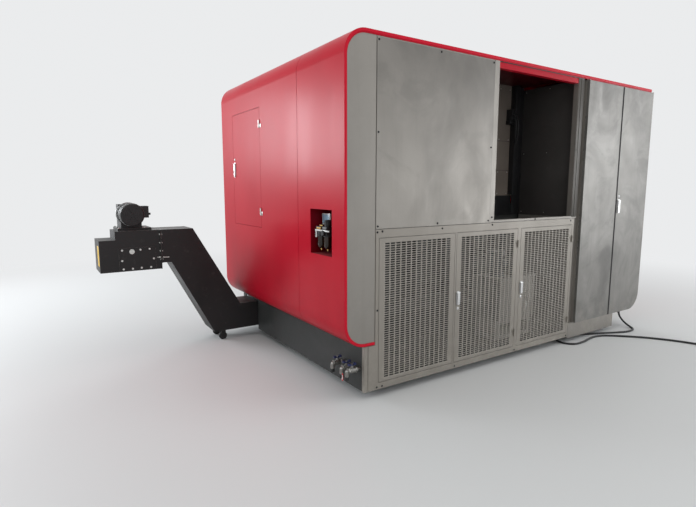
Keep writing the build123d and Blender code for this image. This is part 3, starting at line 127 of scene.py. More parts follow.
def round_outline(middle, size, radius, steps=7):
    """A rectangle with round corners, as flat points."""
    outline = []
    for side, level, start in ((1, -1, -90), (1, 1, 0), (-1, 1, 90), (-1, -1, 180)):
        for out, up in around(radius, start, 90 / (steps - 1), steps):
            outline.append((middle[0] + side * (size[0] / 2 - radius) + out,
                            middle[1] + level * (size[1] / 2 - radius) + up))
    return outline


class Shape:
    """Draws the mesh of a piece, in millimetres from its origin."""

    def __init__(self, x=0, y=0, z=0):
        self.origin = (x, y, z)
        self.turn = Matrix()
        self.bm = bmesh.new()

    def at(self, x, y, z):
        return self.turn @ at(*(start + move for start, move in zip(self.origin, (x, y, z))))

    def lean(self, degrees, axis="X"):
        """Turns what is drawn from here on, about an axis through the origin."""
        pivot = Matrix.Translation(at(*self.origin))
        self.turn = pivot @ Matrix.Rotation(math.radians(degrees), 4, axis) @ pivot.inverted()

    def skin(self, rings, ends=True):
        """Faces between rings of as many points each, and over both ends."""
        rows = [[self.bm.verts.new(point) for point in points] for points in rings]
        for low, high in zip(rows, rows[1:]):
            for corners in zip(low, low[1:] + low[:1], high[1:] + high[:1], high):
                self.bm.faces.new(corners)
        if ends:
            self.bm.faces.new(rows[0][::-1])
            self.bm.faces.new(rows[-1])

    def weld(self, distance):
        bmesh.ops.remove_doubles(self.bm, verts=self.bm.verts, dist=distance * MM)

    def box(self, x, y, z, bevel=0):
        """A box between three spans, with rounded edges."""
        corners = [self.bm.verts.new(self.at(px, py, pz)) for px in x for py in y for pz in z]
        quads = ((0, 1, 3, 2), (4, 6, 7, 5), (0, 4, 5, 1), (2, 3, 7, 6), (0, 2, 6, 4), (1, 5, 7, 3))
        faces = [self.bm.faces.new([corners[index] for index in quad]) for quad in quads]
        if bevel:
            edges = dict.fromkeys(edge for face in faces for edge in face.edges)
            bmesh.ops.bevel(self.bm, geom=list(edges), offset=bevel * MM, segments=2, profile=0.5,
                            affect="EDGES")

    def lathe(self, place, direction, profile, sides=24, hollow=False):
        """A turned form from pairs of distance along and radius, which go once round if hollow."""
        start = self.at(*place)
        direction, u, v = across(self.turn.to_3x3() @ Vector(direction))
        rings = [ring(start + direction * along * MM, u, v, max(radius, 0.01), sides)
                 for along, radius in profile]
        self.skin(rings + rings[:hollow], ends=not hollow)
        if hollow:
            self.weld(0.001)

    def tube(self, points, radius, sides=12):
        """A round tube through points, its section carried along without twist."""
        points = [self.at(*point) for point in points]
        u = across(points[1] - points[0])[1]
        rings = []
        for before, point, after in zip(points[:1] + points, points, points[1:] + points[-1:]):
            direction = (after - before).normalized()
            u = (u - direction * u.dot(direction)).normalized()
            rings.append(ring(point, u, direction.cross(u), radius, sides))
        self.skin(rings)

    def bolt(self, place, direction, radius=6, length=5):
        """Hexagon head on its washer."""
        self.lathe(place, direction, ((0, radius * 1.45), (1.2, radius * 1.45)), 18)
        self.lathe(place, direction, ((1.2, radius * 1.12), (length + 0.2, radius * 1.12),
                                      (length + 1.2, radius * 0.95)), 6)

    def button_head(self, place, direction, radius=7):
        """Low round head with a hexagon socket."""
        direction, u, v = across(direction)
        start = self.at(*place)
        rings = [ring(start + direction * along * MM, u, v, share * radius, 12)
                 for along, share in ((-0.5, 1), (1.2, 1), (2.8, 0.82), (3.4, 0.55))]
        socket = []
        for side in range(12):
            turn = math.pi * side / 6
            reach = radius * 0.42 / math.cos((turn + math.pi / 6) % (math.pi / 3) - math.pi / 6)
            socket.append((u * math.cos(turn) + v * math.sin(turn)) * reach * MM)
        for along in (3.4, 0.8):
            rings.append([start + direction * along * MM + point for point in socket])
        self.skin(rings)

    def piece(self, name, look, slot, body="machine", replaces=None, sharp=35):
        """Turns what was drawn into an object that rides on a body, and starts anew."""
        bmesh.ops.recalc_face_normals(self.bm, faces=self.bm.faces)
        mesh = bpy.data.meshes.new(name)
        self.bm.to_mesh(mesh)
        self.bm.free()
        self.bm = bmesh.new()
        mesh.materials.append(look)
        mesh.polygons.foreach_set("use_smooth", [True] * len(mesh.polygons))
        mesh.set_sharp_from_angle(angle=math.radians(sharp))
        item = add(name, mesh)
        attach(item, body)
        if replaces:
            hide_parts(replaces)
        return item


# Materials

BACKDROP = (0.9, 0.91, 0.92, 1)
BACKDROP_STRENGTH = 0.92


class Nodes:
    """A node tree in the making."""

    def __init__(self, tree):
        self.tree = tree

    def join(self, source, socket):
        """Links a socket to another node's output, or sets its value."""
        if isinstance(source, bpy.types.NodeSocket):
            self.tree.links.new(source, socket)
        else:
            socket.default_value = source

    def node(self, kind, output, *sources, **named):
        """An output of a new node. Its sockets have capitals, its settings are in lower case."""
        node = self.tree.nodes.new("ShaderNode" + kind)
        for key in [key for key in named if key.islower()]:
            setattr(node, key, named.pop(key))
        for key, source in (*enumerate(sources), *named.items()):
            self.join(source, node.inputs[key])
        return node.outputs[output]

    def math(self, operation, first, second):
        return self.node("Math", 0, first, second, operation=operation)

    def seen_directly(self):
        """1 for rays from the camera, off glossy surfaces and through glass."""
        path = self.node("LightPath", "Is Camera Ray").node.outputs
        either = self.math("MAXIMUM", path["Is Camera Ray"], path["Is Glossy Ray"])
        return self.math("MAXIMUM", either, path["Is Transmission Ray"])

    def lay_backdrop(self, kind, factor, under, output):
        """Puts the even backdrop over a shader, as far as the factor goes."""
        over = self.node(kind, 0, Color=BACKDROP, Strength=BACKDROP_STRENGTH)
        mixed = self.node("MixShader", 0, factor, under, over)
        self.join(mixed, self.tree.nodes[output].inputs["Surface"])


class Look(Nodes):
    """A material in the making: one Principled shader and what drives it."""

    def __init__(self, name, color, metallic=0, roughness=0.5, **constants):
        self.material = bpy.data.materials.new(name)
        self.material.use_nodes = True
        super().__init__(self.material.node_tree)
        self.shader = self.tree.nodes["Principled BSDF"]
        constants.update(Base_Color=(*color, 1), Metallic=metallic, Roughness=roughness)
        for key, value in constants.items():
            self.shader.inputs[key.replace("_", " ")].default_value = value
        self.place = self.node("TexCoord", "Object")
        self.relief = None

    def noise(self, scale, detail=4, roughness=0.55, distortion=0, stretch=(1, 1, 1)):
        place = self.node("Mapping", 0, Vector=self.place, Scale=stretch)
        return self.node("TexNoise", "Fac", Vector=place, Scale=scale, Detail=detail,
                         Roughness=roughness, Distortion=distortion)

    def fit(self, source, low, high, to_low=0, to_high=1):
        """Carries the range low to high over to another one, held at its ends."""
        return self.node("MapRange", 0, source, low, high, to_low, to_high)

    def upward(self, low, high):
        """From 0 to 1 between two heights above the floor, in metres."""
        return self.fit(self.node("SeparateXYZ", "Z", self.place), low, high)

    def edges(self):
        """Near 1 at edges that stand out, where paint wears first."""
        bevel = self.node("Bevel", "Normal", Radius=0.004, samples=4)
        normal = self.node("NewGeometry", "Normal")
        even = self.node("VectorMath", "Value", bevel, normal, operation="DOT_PRODUCT")
        return self.fit(even, 0.995, 0.9)

    def settled(self, low=0.6, high=0.95):
        """Near 1 on faces that look up, where dust settles."""
        normal = self.node("NewGeometry", "Normal")
        return self.fit(self.node("SeparateXYZ", "Z", normal), low, high)

    def tint(self, color, source, low=0, high=1, most=1):
        """Mixes another colour over the base colour, up to most as the source goes to high."""
        base = self.shader.inputs["Base Color"]
        under = base.links[0].from_socket if base.links else base.default_value
        mixed = self.node("Mix", 2, self.fit(source, low, high, 0, most), data_type="RGBA")
        self.join(under, mixed.node.inputs[6])
        self.join((*color, 1), mixed.node.inputs[7])
        self.join(mixed, base)

    def dust(self, color, noise, low, high, where, most):
        """Tints the patches of a noise, each as far as a second factor allows: dust, rubbed edges,
        and painted shade low down on the red paint.
        """
        self.tint(color, self.math("MULTIPLY", self.fit(noise, low, high), where), most=most)

    def rough(self, *fitted):
        self.join(self.fit(*fitted), self.shader.inputs["Roughness"])

    def bump(self, source, depth, strength=1):
        """Adds relief of a depth in millimetres."""
        under = {} if self.relief is None else {"Normal": self.relief}
        self.relief = self.node("Bump", "Normal", Distance=depth * MM, Strength=strength,
                                Height=source, **under)
        self.join(self.relief, self.shader.inputs["Normal"])


def shade(color, factor, lift=0):
    return tuple(value * factor + lift for value in color)


def grey_paint(name, color, metallic=0.35, cloud=0.1, size=0.9, wiped=0.3, painted_shade_from=None):
    """Sprayed metallic grey with clouds, wiping marks and speckle, and painted shade that darkens
    it towards the top from a given height.
    """
    look = Look(name, color, metallic, 0.42)
    darker, lighter = shade(color, 1 - 1.6 * cloud), shade(color, 1 + 1.3 * cloud)
    clouds = look.noise(size, 5, 0.55, 0.5)
    look.tint(darker, clouds, 0.48, 0.28)
    look.tint(lighter, clouds, 0.5, 0.75, 0.8)
    wiping = look.noise(2.6, 8, 0.6, 1.6, (1, 1, 0.6))
    look.tint(lighter, wiping, 0.54, 0.74, wiped)
    look.tint(darker, look.noise(1.7, 7, 0.62, 3.2, (1, 1, 0.8)), 0.5, 0.62, wiped * 0.8)
    look.tint(darker, look.noise(26, 4, 0.6, 0.3, (1, 1, 0.06)), 0.5, 0.7, 0.18)
    # Painted shade: patches darker towards the top, from the given height up
    if painted_shade_from is not None:
        patches = look.fit(clouds, 0.7, 0.35, 0.3, 0.75)
        painted_shade = look.math("MULTIPLY", look.upward(painted_shade_from, painted_shade_from + 0.8), patches)
        look.tint(shade(color, 0.42), painted_shade)
    look.tint(darker, look.noise(420, 2, 0.6), 0.56, 0.66, 0.22)
    look.dust((0.42, 0.39, 0.34), look.noise(9, 6, 0.7), 0.45, 0.75, look.upward(0.45, 0.05), 0.5)
    look.rough(wiping, 0.36, 0.68, 0.48, 0.34)
    look.bump(look.noise(150, 3, 0.5), 0.12, 0.3)
    look.bump(look.noise(1.4, 2, 0.5), 2, 0.06)
    return look.material


def red_paint(name, color):
    """Glossy crimson with orange peel, a soft waviness of the sheet and settled dust, with painted
    sheen in pale streaks and painted shade in darker patches low down.
    """
    look = Look(name, color, 0, 0.32, Specular_IOR_Level=0.09, Coat_Weight=0.02,
                Coat_Roughness=0.16)
    r, g, b = color
    clouds = look.noise(1.1, 5, 0.6, 0.6)
    look.tint((r * 0.76, g * 0.6, b * 0.7), clouds, 0.4, 0.72, 0.4)
    # Painted sheen: paler, pinker streaks running up and down
    painted_sheen_streaks = look.noise(2.4, 3, 0.5, 0.3, (1, 1, 0.25))
    look.tint((r * 1.2, g + 0.03, b + 0.03), painted_sheen_streaks, 0.54, 0.78, 0.2)
    # Painted shade: darker red patches towards the bottom
    painted_shade_low = look.upward(0.9, 0.38)
    look.dust((r * 0.45, g * 0.5, b * 0.5), look.noise(5, 6, 0.7), 0.42, 0.72, painted_shade_low, 0.35)
    dust = look.settled(0.8, 0.99)
    patches = look.fit(clouds, 0.3, 0.7, 0.03, 0.12)
    look.tint((0.4, 0.33, 0.31), look.math("MULTIPLY", dust, patches))
    sheen = look.fit(painted_sheen_streaks, 0.35, 0.7, 0.28, 0.38)
    dull = look.math("MAXIMUM", sheen, look.math("MULTIPLY", dust, 0.68))
    look.join(dull, look.shader.inputs["Roughness"])
    look.bump(look.noise(130, 2, 0.5), 0.04, 0.2)
    look.bump(look.noise(0.9, 1, 0.5), 2, 0.05)
    return look.material


def dark_paint(name, color, chips=0.5, roughness=0.45):
    """Dark powder coat with rubbed edges, scuffs and dust."""
    look = Look(name, color, 0, roughness, Specular_IOR_Level=0.32)
    clouds = look.noise(2.6, 6, 0.6, 0.5)
    look.tint(shade(color, 1.6, 0.01), clouds, 0.42, 0.75, 0.45)
    look.dust((0.3, 0.29, 0.27), look.noise(38, 6, 0.7), 0.42, 0.62, look.edges(), chips)
    look.tint((0.2, 0.19, 0.18), look.noise(14, 8, 0.75), 0.56, 0.84, 0.16)
    look.dust((0.3, 0.29, 0.28), look.noise(6, 6, 0.7), 0.3, 0.75, look.settled(), 0.55)
    look.rough(clouds, 0.3, 0.7, roughness - 0.08, roughness + 0.16)
    look.bump(look.noise(240, 3, 0.6), 0.12, 0.4)
    return look.material


def metal(name, color, roughness=0.3, grime=0.3, brushing=(1, 1, 1)):
    """Bare metal with fine lines along one way, stains and darker grime."""
    look = Look(name, color, 1, roughness)
    lines = look.noise(160, 4, 0.65, 0, brushing)
    stains = look.noise(7, 6, 0.65, 0.7)
    look.tint(shade(color, 0.45), stains, 0.48, 0.72, grime)
    look.tint(shade(color, 0.78), lines, 0.4, 0.62, 0.25)
    look.rough(look.math("ADD", lines, stains), 0.8, 1.3, roughness * 0.75, roughness * 1.5)
    look.bump(lines, 0.05, 0.3)
    return look.material


def plastic(name, color, roughness=0.4, coat=0, grain=260):
    """Moulded plastic with a fine grain and slight handling marks."""
    look = Look(name, color, 0, roughness, Specular_IOR_Level=0.35, Coat_Weight=coat)
    marks = look.noise(11, 6, 0.65, 0.4)
    look.tint(shade(color, 1.5, 0.015), marks, 0.5, 0.8, 0.25)
    look.rough(marks, 0.35, 0.7, roughness * 0.85, roughness * 1.3)
    look.bump(look.noise(grain, 2, 0.5), 0.06, 0.35)
    return look.material


def cast_paint(name, color):
    """Painted casting with a rough skin and oil in its hollows."""
    look = Look(name, color, 0, 0.4)
    oil = look.noise(5, 7, 0.65, 0.8)
    look.tint(shade(color, 0.5), oil, 0.5, 0.74, 0.6)
    look.rough(oil, 0.35, 0.65, 0.46, 0.22)
    look.bump(look.noise(70, 4, 0.6), 0.5, 0.5)
    return look.material


def glass(name):
    """Laminated pane, slightly green, with smears of coolant."""
    look = Look(name, (0.62, 0.7, 0.66), 0, 0.04, Transmission_Weight=0.92, IOR=1.5)
    smears = look.noise(8, 7, 0.6, 1.6, (1, 1, 0.35))
    look.rough(smears, 0.45, 0.75, 0.03, 0.2)
    look.bump(smears, 0.05, 0.1)
    return look.material


red = red_paint("red_gloss", (0.5, 0.006, 0.022))
# Painted shade: a darker copy of the red for the inside of the service recess
red_dark = red_paint("red_recess_painted_shade", (0.2, 0.003, 0.01))
# Painted shade: a very dark copy of the red for the plate under the bay's ceiling
red_painted_shade = red_paint("red_painted_shade", (0.06, 0.0015, 0.004))
# Painted highlight: a brighter copy of the red for the bead along the shell's edge
red_rim_painted_highlight = red_paint("red_rim_painted_highlight", (0.66, 0.012, 0.035))
grey = grey_paint("grey_cover", (0.262, 0.245, 0.222))
# The plate's paint carries painted shade, darker towards its top from 1.45 m up
grey_plate = grey_paint("grey_plate", (0.262, 0.245, 0.222), 0.35, 0.16, 1.3, 0.5, 1.45)
grey_leaf = grey_paint("grey_leaf", (0.205, 0.199, 0.187), 0.5, 0.26, 1.9, 0.5)
# Painted shade: a near-black grey for the cover on the post beside the bay
grey_post_painted_shade = grey_paint("grey_post_painted_shade", (0.06, 0.054, 0.045), 0.2, 0.1)
grey_mesh = grey_paint("grey_mesh", (0.268, 0.246, 0.216), 0.25, 0.06)
base_grey = dark_paint("base_grey", (0.03, 0.032, 0.031), 0.25, 0.5)
charcoal = dark_paint("charcoal", (0.0125, 0.0115, 0.012), 0.4, 0.42)
# On the bay's side wall this dark colour is painted shade; on the drive fronts it is their own
# colour
charcoal_inside = dark_paint("charcoal_inside", (0.058, 0.054, 0.051), 0.1, 0.6)
taupe = dark_paint("taupe_wall", (0.175, 0.148, 0.125), 0.1, 0.6)
tank_grey = dark_paint("tank_grey", (0.4, 0.38, 0.35), 0.15, 0.5)
motor_grey = dark_paint("motor_grey", (0.1, 0.115, 0.125), 0.3, 0.42)
castings = cast_paint("casting_paint", (0.24, 0.255, 0.255))
bed_casting = cast_paint("bed_casting", (0.055, 0.057, 0.056))
zinc = metal("zinc_sheet", (0.6, 0.6, 0.58), 0.36, 0.25)
ground = metal("ground_steel", (0.58, 0.57, 0.55), 0.22, 0.35, (0.05, 1, 1))
worn_steel = metal("worn_steel", (0.33, 0.31, 0.29), 0.38, 0.6, (1, 0.2, 1))
chrome = metal("satin_chrome", (0.55, 0.55, 0.55), 0.3, 0.08, (1, 1, 0.08))
brass = metal("brass", (0.72, 0.48, 0.18), 0.26, 0.35)
nickel = metal("nickel", (0.27, 0.265, 0.25), 0.34, 0.5)
black_oxide = metal("black_oxide", (0.03, 0.03, 0.032), 0.42, 0.2)
gold = metal("coated_insert", (0.8, 0.56, 0.2), 0.22, 0.1)
black = plastic("black_plastic", (0.016, 0.016, 0.017), 0.45)
rubber = plastic("rubber", (0.02, 0.02, 0.021), 0.62, 0, 120)
cable_skin = plastic("cable_rubber", (0.016, 0.016, 0.017), 0.5, 0, 500)
blue = plastic("blue_grip", (0.012, 0.018, 0.085), 0.35, 0.3)
signal_red = plastic("signal_red", (0.62, 0.012, 0.01), 0.3, 0.4)
plug_red = plastic("plug_red", (0.55, 0.016, 0.012), 0.34, 0.3)
white_plastic = plastic("white_plastic", (0.72, 0.73, 0.72), 0.38, 0.2)
smoke = plastic("smoked_bowl", (0.016, 0.008, 0.004), 0.14, 0.2)
pale_blue = plastic("pale_blue", (0.3, 0.48, 0.62), 0.35, 0.2)
light_grey = plastic("light_grey_plastic", (0.42, 0.43, 0.43), 0.42)
screen = plastic("screen_glass", (0.008, 0.01, 0.012), 0.08, 0.8, 20)
warning = plastic("warning_yellow", (0.78, 0.48, 0.02), 0.4)
go_green = plastic("go_green", (0.02, 0.26, 0.07), 0.4)
pane = glass("pane")

NODE_LOOKS = (
    (red, "rear_shell front_shell access_door right_side_cover operator_door"),
    (red_dark, "service_recess"),
    (grey, "column_plate bay_frame cabinet_body front_panel front_apron"),
    (grey_plate, "upper_plate"),
    (grey_leaf, "cabinet_left_leaf cabinet_right_leaf"),
    (grey_mesh, "lower_frame slotted_panel slotted_door_1 slotted_door_2"),
    (base_grey, "machine_base"),
    (charcoal, "control_pendant conveyor_casing conveyor_head conveyor_motor"),
    (taupe, "bay_back_wall"),
    (tank_grey, "hydraulic_unit"),
    (castings, "headstock saddle cross_slide tailstock"),
    (bed_casting, "slant_bed"),
    (zinc, "levelling_feet cabinet_gear air_filter_unit"),
    (ground, "guide_rails spindle chuck_body turret_disc quill conveyor_shaft"),
    (worn_steel, "conveyor_belt"),
    (chrome, "slotted_door_1_handle slotted_door_2_handle cabinet_handle access_door_handle"),
    (nickel, "valve_bank"),
    (black_oxide, "chuck_jaw_1 chuck_jaw_2 chuck_jaw_3"),
    (black, "regulator_knob override_knob"),
    (rubber, "conveyor_wheel_1 conveyor_wheel_2"),
    (cable_skin, "mains_cable mains_cable_coil"),
    (blue, "valve_lever_1 valve_lever_2 valve_lever_3"),
    (signal_red, "stop_button"),
    (plug_red, "mains_cable_plug"),
    (pane, "door_window"),
)
for look, nodes in NODE_LOOKS:
    for node in nodes.split():
        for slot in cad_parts[node].material_slots:
            slot.material = look


# Slotted panels

PIN_REACH = 7.5           # how far a door's hinge pins stand past its sheet
SHEET = 2
FOLD = 20
FIELD_MARGIN = 42         # beside the field of slots, then below and above it
FIELD_MARGIN_LOW = 24
FIELD_MARGIN_HIGH = 30
SLOT_ROWS = 59
SLOT_COLUMNS = 13
SLOT_LENGTH = 0.84        # share of the column pitch
SLOT_HEIGHT = 0.62        # share of the row pitch


def sheet_end(node):
    """Where a sheet ends along X, without the hinge pins that a door has there."""
    return span(node)[0][1] - PIN_REACH * node.startswith("slotted_door")


def slot_cell(pitch_x, pitch_z):
    """One cell of the sheet round a slot: flat points and faces."""
    w, h = pitch_x / 2, pitch_z / 2
    radius = h * SLOT_HEIGHT
    reach = w * SLOT_LENGTH - radius
    points = [(-w, -h), (w, -h), (w, h), (-w, h)]
    for side, start in ((1, -90), (-1, 90)):
        points += [(side * reach + out, up) for out, up in around(radius, start, 60, 4)]
    loops = [(index, (index + 1) % 4) for index in range(4)]
    loops += [(4 + index, 4 + (index + 1) % 8) for index in range(8)]
    verts, _, faces, *_ = delaunay_2d_cdt([Vector(point) for point in points], loops, [], 0, 1e-6)

    def in_slot(face):
        x, z = (sum(verts[index][axis] for index in face) / len(face) for axis in (0, 1))
        return abs(z) < radius and abs(x) < reach + math.sqrt(radius**2 - z**2) * 0.98

    return verts, [face for face in faces if not in_slot(face)]


def slotted_sheet(name, node, body):
    """Sheet with its rows and columns of slots and its folded edges."""
    x_span, z_span = (span(node)[0][0], sheet_end(node)), span(node)[2]
    field_x = (x_span[0] + FIELD_MARGIN, x_span[1] - FIELD_MARGIN)
    field_z = (z_span[0] + FIELD_MARGIN_LOW, z_span[1] - FIELD_MARGIN_HIGH)
    pitch_x = (field_x[1] - field_x[0]) / SLOT_COLUMNS
    pitch_z = (field_z[1] - field_z[0]) / SLOT_ROWS
    columns = [field_x[0] + column * pitch_x for column in range(SLOT_COLUMNS + 1)]
    rows = [field_z[0] + row * pitch_z for row in range(SLOT_ROWS + 1)]
    verts, faces = slot_cell(pitch_x, pitch_z)
    s = Shape()

    def face(places):
        s.bm.faces.new([s.bm.verts.new(at(x, 0, z)) for x, z in places])

    for x in columns[:-1]:
        for z in rows[:-1]:
            middle = Vector((x + pitch_x / 2, z + pitch_z / 2))
            for corners in faces:
                face([middle + verts[index] for index in corners])
    for x, outer in zip(field_x, x_span):
        face([(x, z) for z in rows] + [(outer, z_span[1]), (outer, z_span[0])])
    for z, outer in zip(field_z, z_span):
        face([(x, z) for x in columns] + [(x_span[1], outer), (x_span[0], outer)])
    rim = [(x_span[side], z_span[level]) for side, level in ((0, 0), (1, 0), (1, 1), (0, 1))]
    s.skin([[at(x, y, z) for x, z in rim] for y in (0, FOLD)], ends=False)
    s.weld(0.02)
    item = s.piece(name, grey_mesh, "grey_paint", body, node, sharp=30)
    thick = item.modifiers.new("thickness", "SOLIDIFY")
    thick.thickness = SHEET * MM
    thick.offset = -1
    thick.use_even_offset = True


# Seats and hinges of the doors

# Size of the plate, height of its middle from the pin, place of the ears, how far they stand
# over the solid's own seat, height of the lock from the pin, and the lock's profile
SMALL_SEAT = ((36, 104), -40, 15.5, 0, -118, ((0, 11), (3, 11), (4, 9.5), (4, 5), (2.5, 4.6)))
LARGE_SEAT = ((43, 133), -54, 18.5, 0.2, 38, ((0, 12), (3, 12), (4.5, 10), (4.5, 5.5), (2, 5)))


def lever_seat(name, kind, body, handle, face, axis="y"):
    """Escutcheon, ears, pin ends and cylinder lock round a lift lever, across X or Y."""
    size, plate, ears, over, lock, profile = kind
    lever = span(handle)
    middle = sum(lever[0 if axis == "y" else 1]) / 2
    pin = lever[2][1] - 4.5
    s = Shape()

    def turned(u, depth, z):
        return (u, depth, z) if axis == "y" else (depth, u, z)

    outline = round_outline((middle, pin + plate), size, size[0] * 0.45)
    s.skin([[at(*turned(u, depth, z)) for u, z in outline] for depth in (face - 2 - over, face)])
    for side in (-1, 1):
        ear = middle + side * ears
        s.box(*turned(by(ear, 2.5 + over), (face - 11 - over, face - 1), by(pin, 4 + over)), 1)
        if kind is SMALL_SEAT:
            pin_end = ((0, 3.2), (1.2, 3.2), (1.6, 2))
            s.lathe((ear + side * 2.5, -6.8, pin), (side, 0, 0), pin_end, 12)
    s.lathe(turned(middle, face, pin + lock), turned(0, -1, 0), profile, 20)
    s.piece(name, chrome, "handle_metal", body, sharp=40)


def slotted_door_hinges(node):
    """Knuckles and leaves of a slotted door's two hinges."""
    pivot = sheet_end(node) + 1.5
    low, high = span(node)[2]
    s = Shape()
    for z in (low + 120.2, high - 119.8):
        s.lathe((pivot, -6, z), UP, ((0, 5.4), (0.6, 6), (28, 6), (29.5, 4.5)), 16)
        s.box((pivot - 26, pivot - 1), (-2, 0), (z, z + 29.8), 0.6)
        for screw in (7.8, 21.8):
            s.button_head((pivot - 16, -2, z + screw), FRONT, 3.4)
    s.piece(f"{node}_knuckles", grey_mesh, "grey_paint", node, sharp=40)


def access_hinges():
    """Bright hinges of the red access door: one half on the shell and one on the door."""
    _, (edge, _), (bottom, top) = span("access_door")
    pivot = edge + 6
    for body, side in (("machine", -1), ("access_door", 1)):
        s = Shape()
        leaf = (pivot + side * 0.9, pivot + side * 27)
        for z in (bottom + 130, top - 130):
            low = z + 0.2 if side > 0 else z - 30
            s.lathe((-6, pivot, low), UP, ((0, 5.4), (0.6, 6.4), (29, 6.4), (29.6, 4.5)), 16)
            s.box((-2.5, -0.1), leaf, (low - 0.1, low + 29.9), 0.6)
            for screw in (8, 22):
                s.button_head((-2.5, pivot + side * 18, low + screw), LEFT, 3.4)
        s.piece(f"access_hinges_{body}", zinc, "ground_steel", body, sharp=40)


def cabinet_trim():
    """Covers of the concealed hinges, and rubber edges along the joint between the leaves."""
    (start, left_edge), (face, _), (low, high) = span("cabinet_left_leaf")
    right_edge, end = span("cabinet_right_leaf")[0]
    s = Shape()
    for x in (start + 4, end - 4):
        s.lathe((x, face + 4, high + 0.4), UP, ((0, 3.6), (4.6, 3.6)), 16)
    s.piece("cabinet_knuckles", zinc, "ground_steel")
    for side, x in (("left", left_edge - 3.6), ("right", right_edge + 3.6)):
        s.box(by(x, 3.9), (face - 0.7, face + 2), (low + 2, high - 2), 0.5)
        s.piece(f"leaf_edge_{side}", rubber, "wheel_rubber", f"cabinet_{side}_leaf")


# The shell's edge

RIM_RADIUS = 160


def shell_rim():
    """Rounded bead along the edge of the red shell, from the turn under it to the roof's end."""
    (_, roof_end), _, (bottom, top) = span("rear_shell")
    tuck_end = span("column_plate")[0][1]
    stations = [(tuck_end, bottom, 0, 1)]
    for centre, start in ((bottom + RIM_RADIUS, -90), (top - RIM_RADIUS, -180)):
        for out_x, out_z in around(1, start, -7.5, 13):
            stations.append((RIM_RADIUS * (1 + out_x), centre + RIM_RADIUS * out_z, -out_x, -out_z))
    stations.append((roof_end, top, 0, -1))
    section = ((0.6, 0.2), (1.6, -1.6), (10, -2.3), (18, -1.6), (19, 0.2))
    s = Shape()
    s.skin([[at(x + inset * in_x, y, z + inset * in_z) for inset, y in section]
            for x, z, in_x, in_z in stations])
    # The bead is in the brighter red, as a painted highlight
    s.piece("shell_rim", red_rim_painted_highlight, "red_paint", sharp=50)


# Inside the open service bay

def service_bay():
    """Inner walls, wiring ducts and connectors of the bay, and the cover of the post beside it; the
    side wall's lining, the plate under the ceiling and the post's cover are dark sheets of painted
    shade.
    """
    wall = span("bay_frame")[0][1] + 0.2
    (_, end), (back, _), _ = span("bay_back_wall")
    left = span("upper_plate")[0][1] + 52
    s = Shape()
    # Dark lining over the side wall, as painted shade
    s.box((wall, wall + 3), (45, back - 2), (1142, 2314), 1)
    s.box((wall - 14.2, wall + 0.2), (45, 48), (1158, 2312), 0.5)
    s.piece("bay_side_painted_shade", charcoal_inside, "dark_paint")
    # Very dark red plate under the ceiling, as painted shade
    s.box((left, wall - 1.2), (24, back - 5), (2337, 2340), 0.5)
    s.piece("bay_ceiling_painted_shade", red_painted_shade, "red_paint")
    s.box((left, wall - 2.2), (-0.5, 0.5), (2312, 2318), 0.2)
    s.piece("beam_joint", black, "black_plastic")
    s = Shape(0, back, 0)
    s.box((left, end - 4), (3.6, 6), (1142, 1330), 0.5)
    s.box((end - 60, end - 4), (-54, -0.4), (1335, 2336), 3)
    s.box((end - 3.5, wall - 0.7), (-4, -1), (1145, 2336), 0.5)
    s.box((end - 64, end), (-58, -54), (1335, 2336), 1.5)
    s.box((end - 124, end - 62), (-50, -0.4), (1985, 2020), 2)
    for x, top in ((2202, 2118), (2232, 2096)):
        s.box(by(x, 12), (-70, -0.4), (2020, top), 4)
        s.lathe((x, -69, 2060), FRONT, ((0, 10), (16, 10), (18, 7), (30, 7)), 20)
        wire = [(x, -90, 2052), (x + 4, -105, 1985), (x + 20, -90, 1880), (2262, -62, 1800)]
        s.tube(bend(wire, 5), 5)
    seam = (-0.8, 0.4)
    for z in (1560, 1830):
        s.box((left, end - 61), seam, (z, z + 2.5))
    for x in (1690, 2052):
        s.box((x, x + 2.5), seam, (1330, 2340))
    s.piece("bay_fittings", black, "black_plastic")
    s = Shape()
    for x in (1400, 1640, 1740, 2000, 2100, 2230):
        for z in (1345, 1545, 1845, 2300):
            s.button_head((x, back, z), FRONT, 5)
    for y in (80, 330, 580):
        for z in (1170, 1720, 2290):
            s.button_head((wall, y, z), LEFT, 5)
    s.piece("bay_screws", zinc, "ground_steel")
    # Near-black cover on the post's face, as painted shade
    s.box((wall - 80.2, wall - 1.2), (-1.2, -0.05), (1146, 2311), 0.4)
    s.box((wall - 46.2, wall - 41.2), (-4, -0.6), (1146, 2311), 1.2)
    s.piece("post_painted_shade_cover", grey_post_painted_shade, "grey_paint")


# Spindle end and feet

def spindle_end():
    """Collar and screws of the end cover, and the lock nuts of the levelling feet."""
    spindle_y, spindle_z = (sum(span("spindle")[axis]) / 2 for axis in (1, 2))
    (_, face), (low_y, high_y), (low_z, high_z) = span("right_side_cover")
    front, back, bottom, top = low_y + 18, high_y - 22, low_z + 25, high_z - 22
    s = Shape()
    collar = ((0, 95.5), (0, 118), (5, 118), (7, 115), (7, 98), (5, 95.5))
    s.lathe((face, spindle_y, spindle_z), RIGHT, collar, 48, hollow=True)
    s.piece("bar_collar", charcoal, "dark_paint", sharp=40)
    for out, up in around(107, 30, 60, 6):
        s.button_head((face + 7, spindle_y + out, spindle_z + up), RIGHT, 5.5)
    levels = (560, 920, 1280, 1640, 2000)
    low_back = span("machine_base")[1][1] - 26
    places = [(y, z) for y in (front, 1010, 1390, 1770) for z in (bottom, top)]
    places += [(front, z) for z in levels] + [(back, z) for z in levels[1:]]
    places += [(low_back, bottom), (low_back, levels[0]), (back, top)]
    for y, z in places:
        s.button_head((face, y, z), RIGHT)
    s.piece("cover_screws", black_oxide, "dark_paint", sharp=40)
    for x in (300, 1150, 2150, 3000):
        for y in (160, 1150, 1690):
            s.lathe((x, y, 42), UP, ((0, 26), (1.5, 28), (15, 28), (16.5, 26)), 6)
    s.piece("feet_nuts", zinc, "ground_steel", sharp=40)


# Air unit and valves

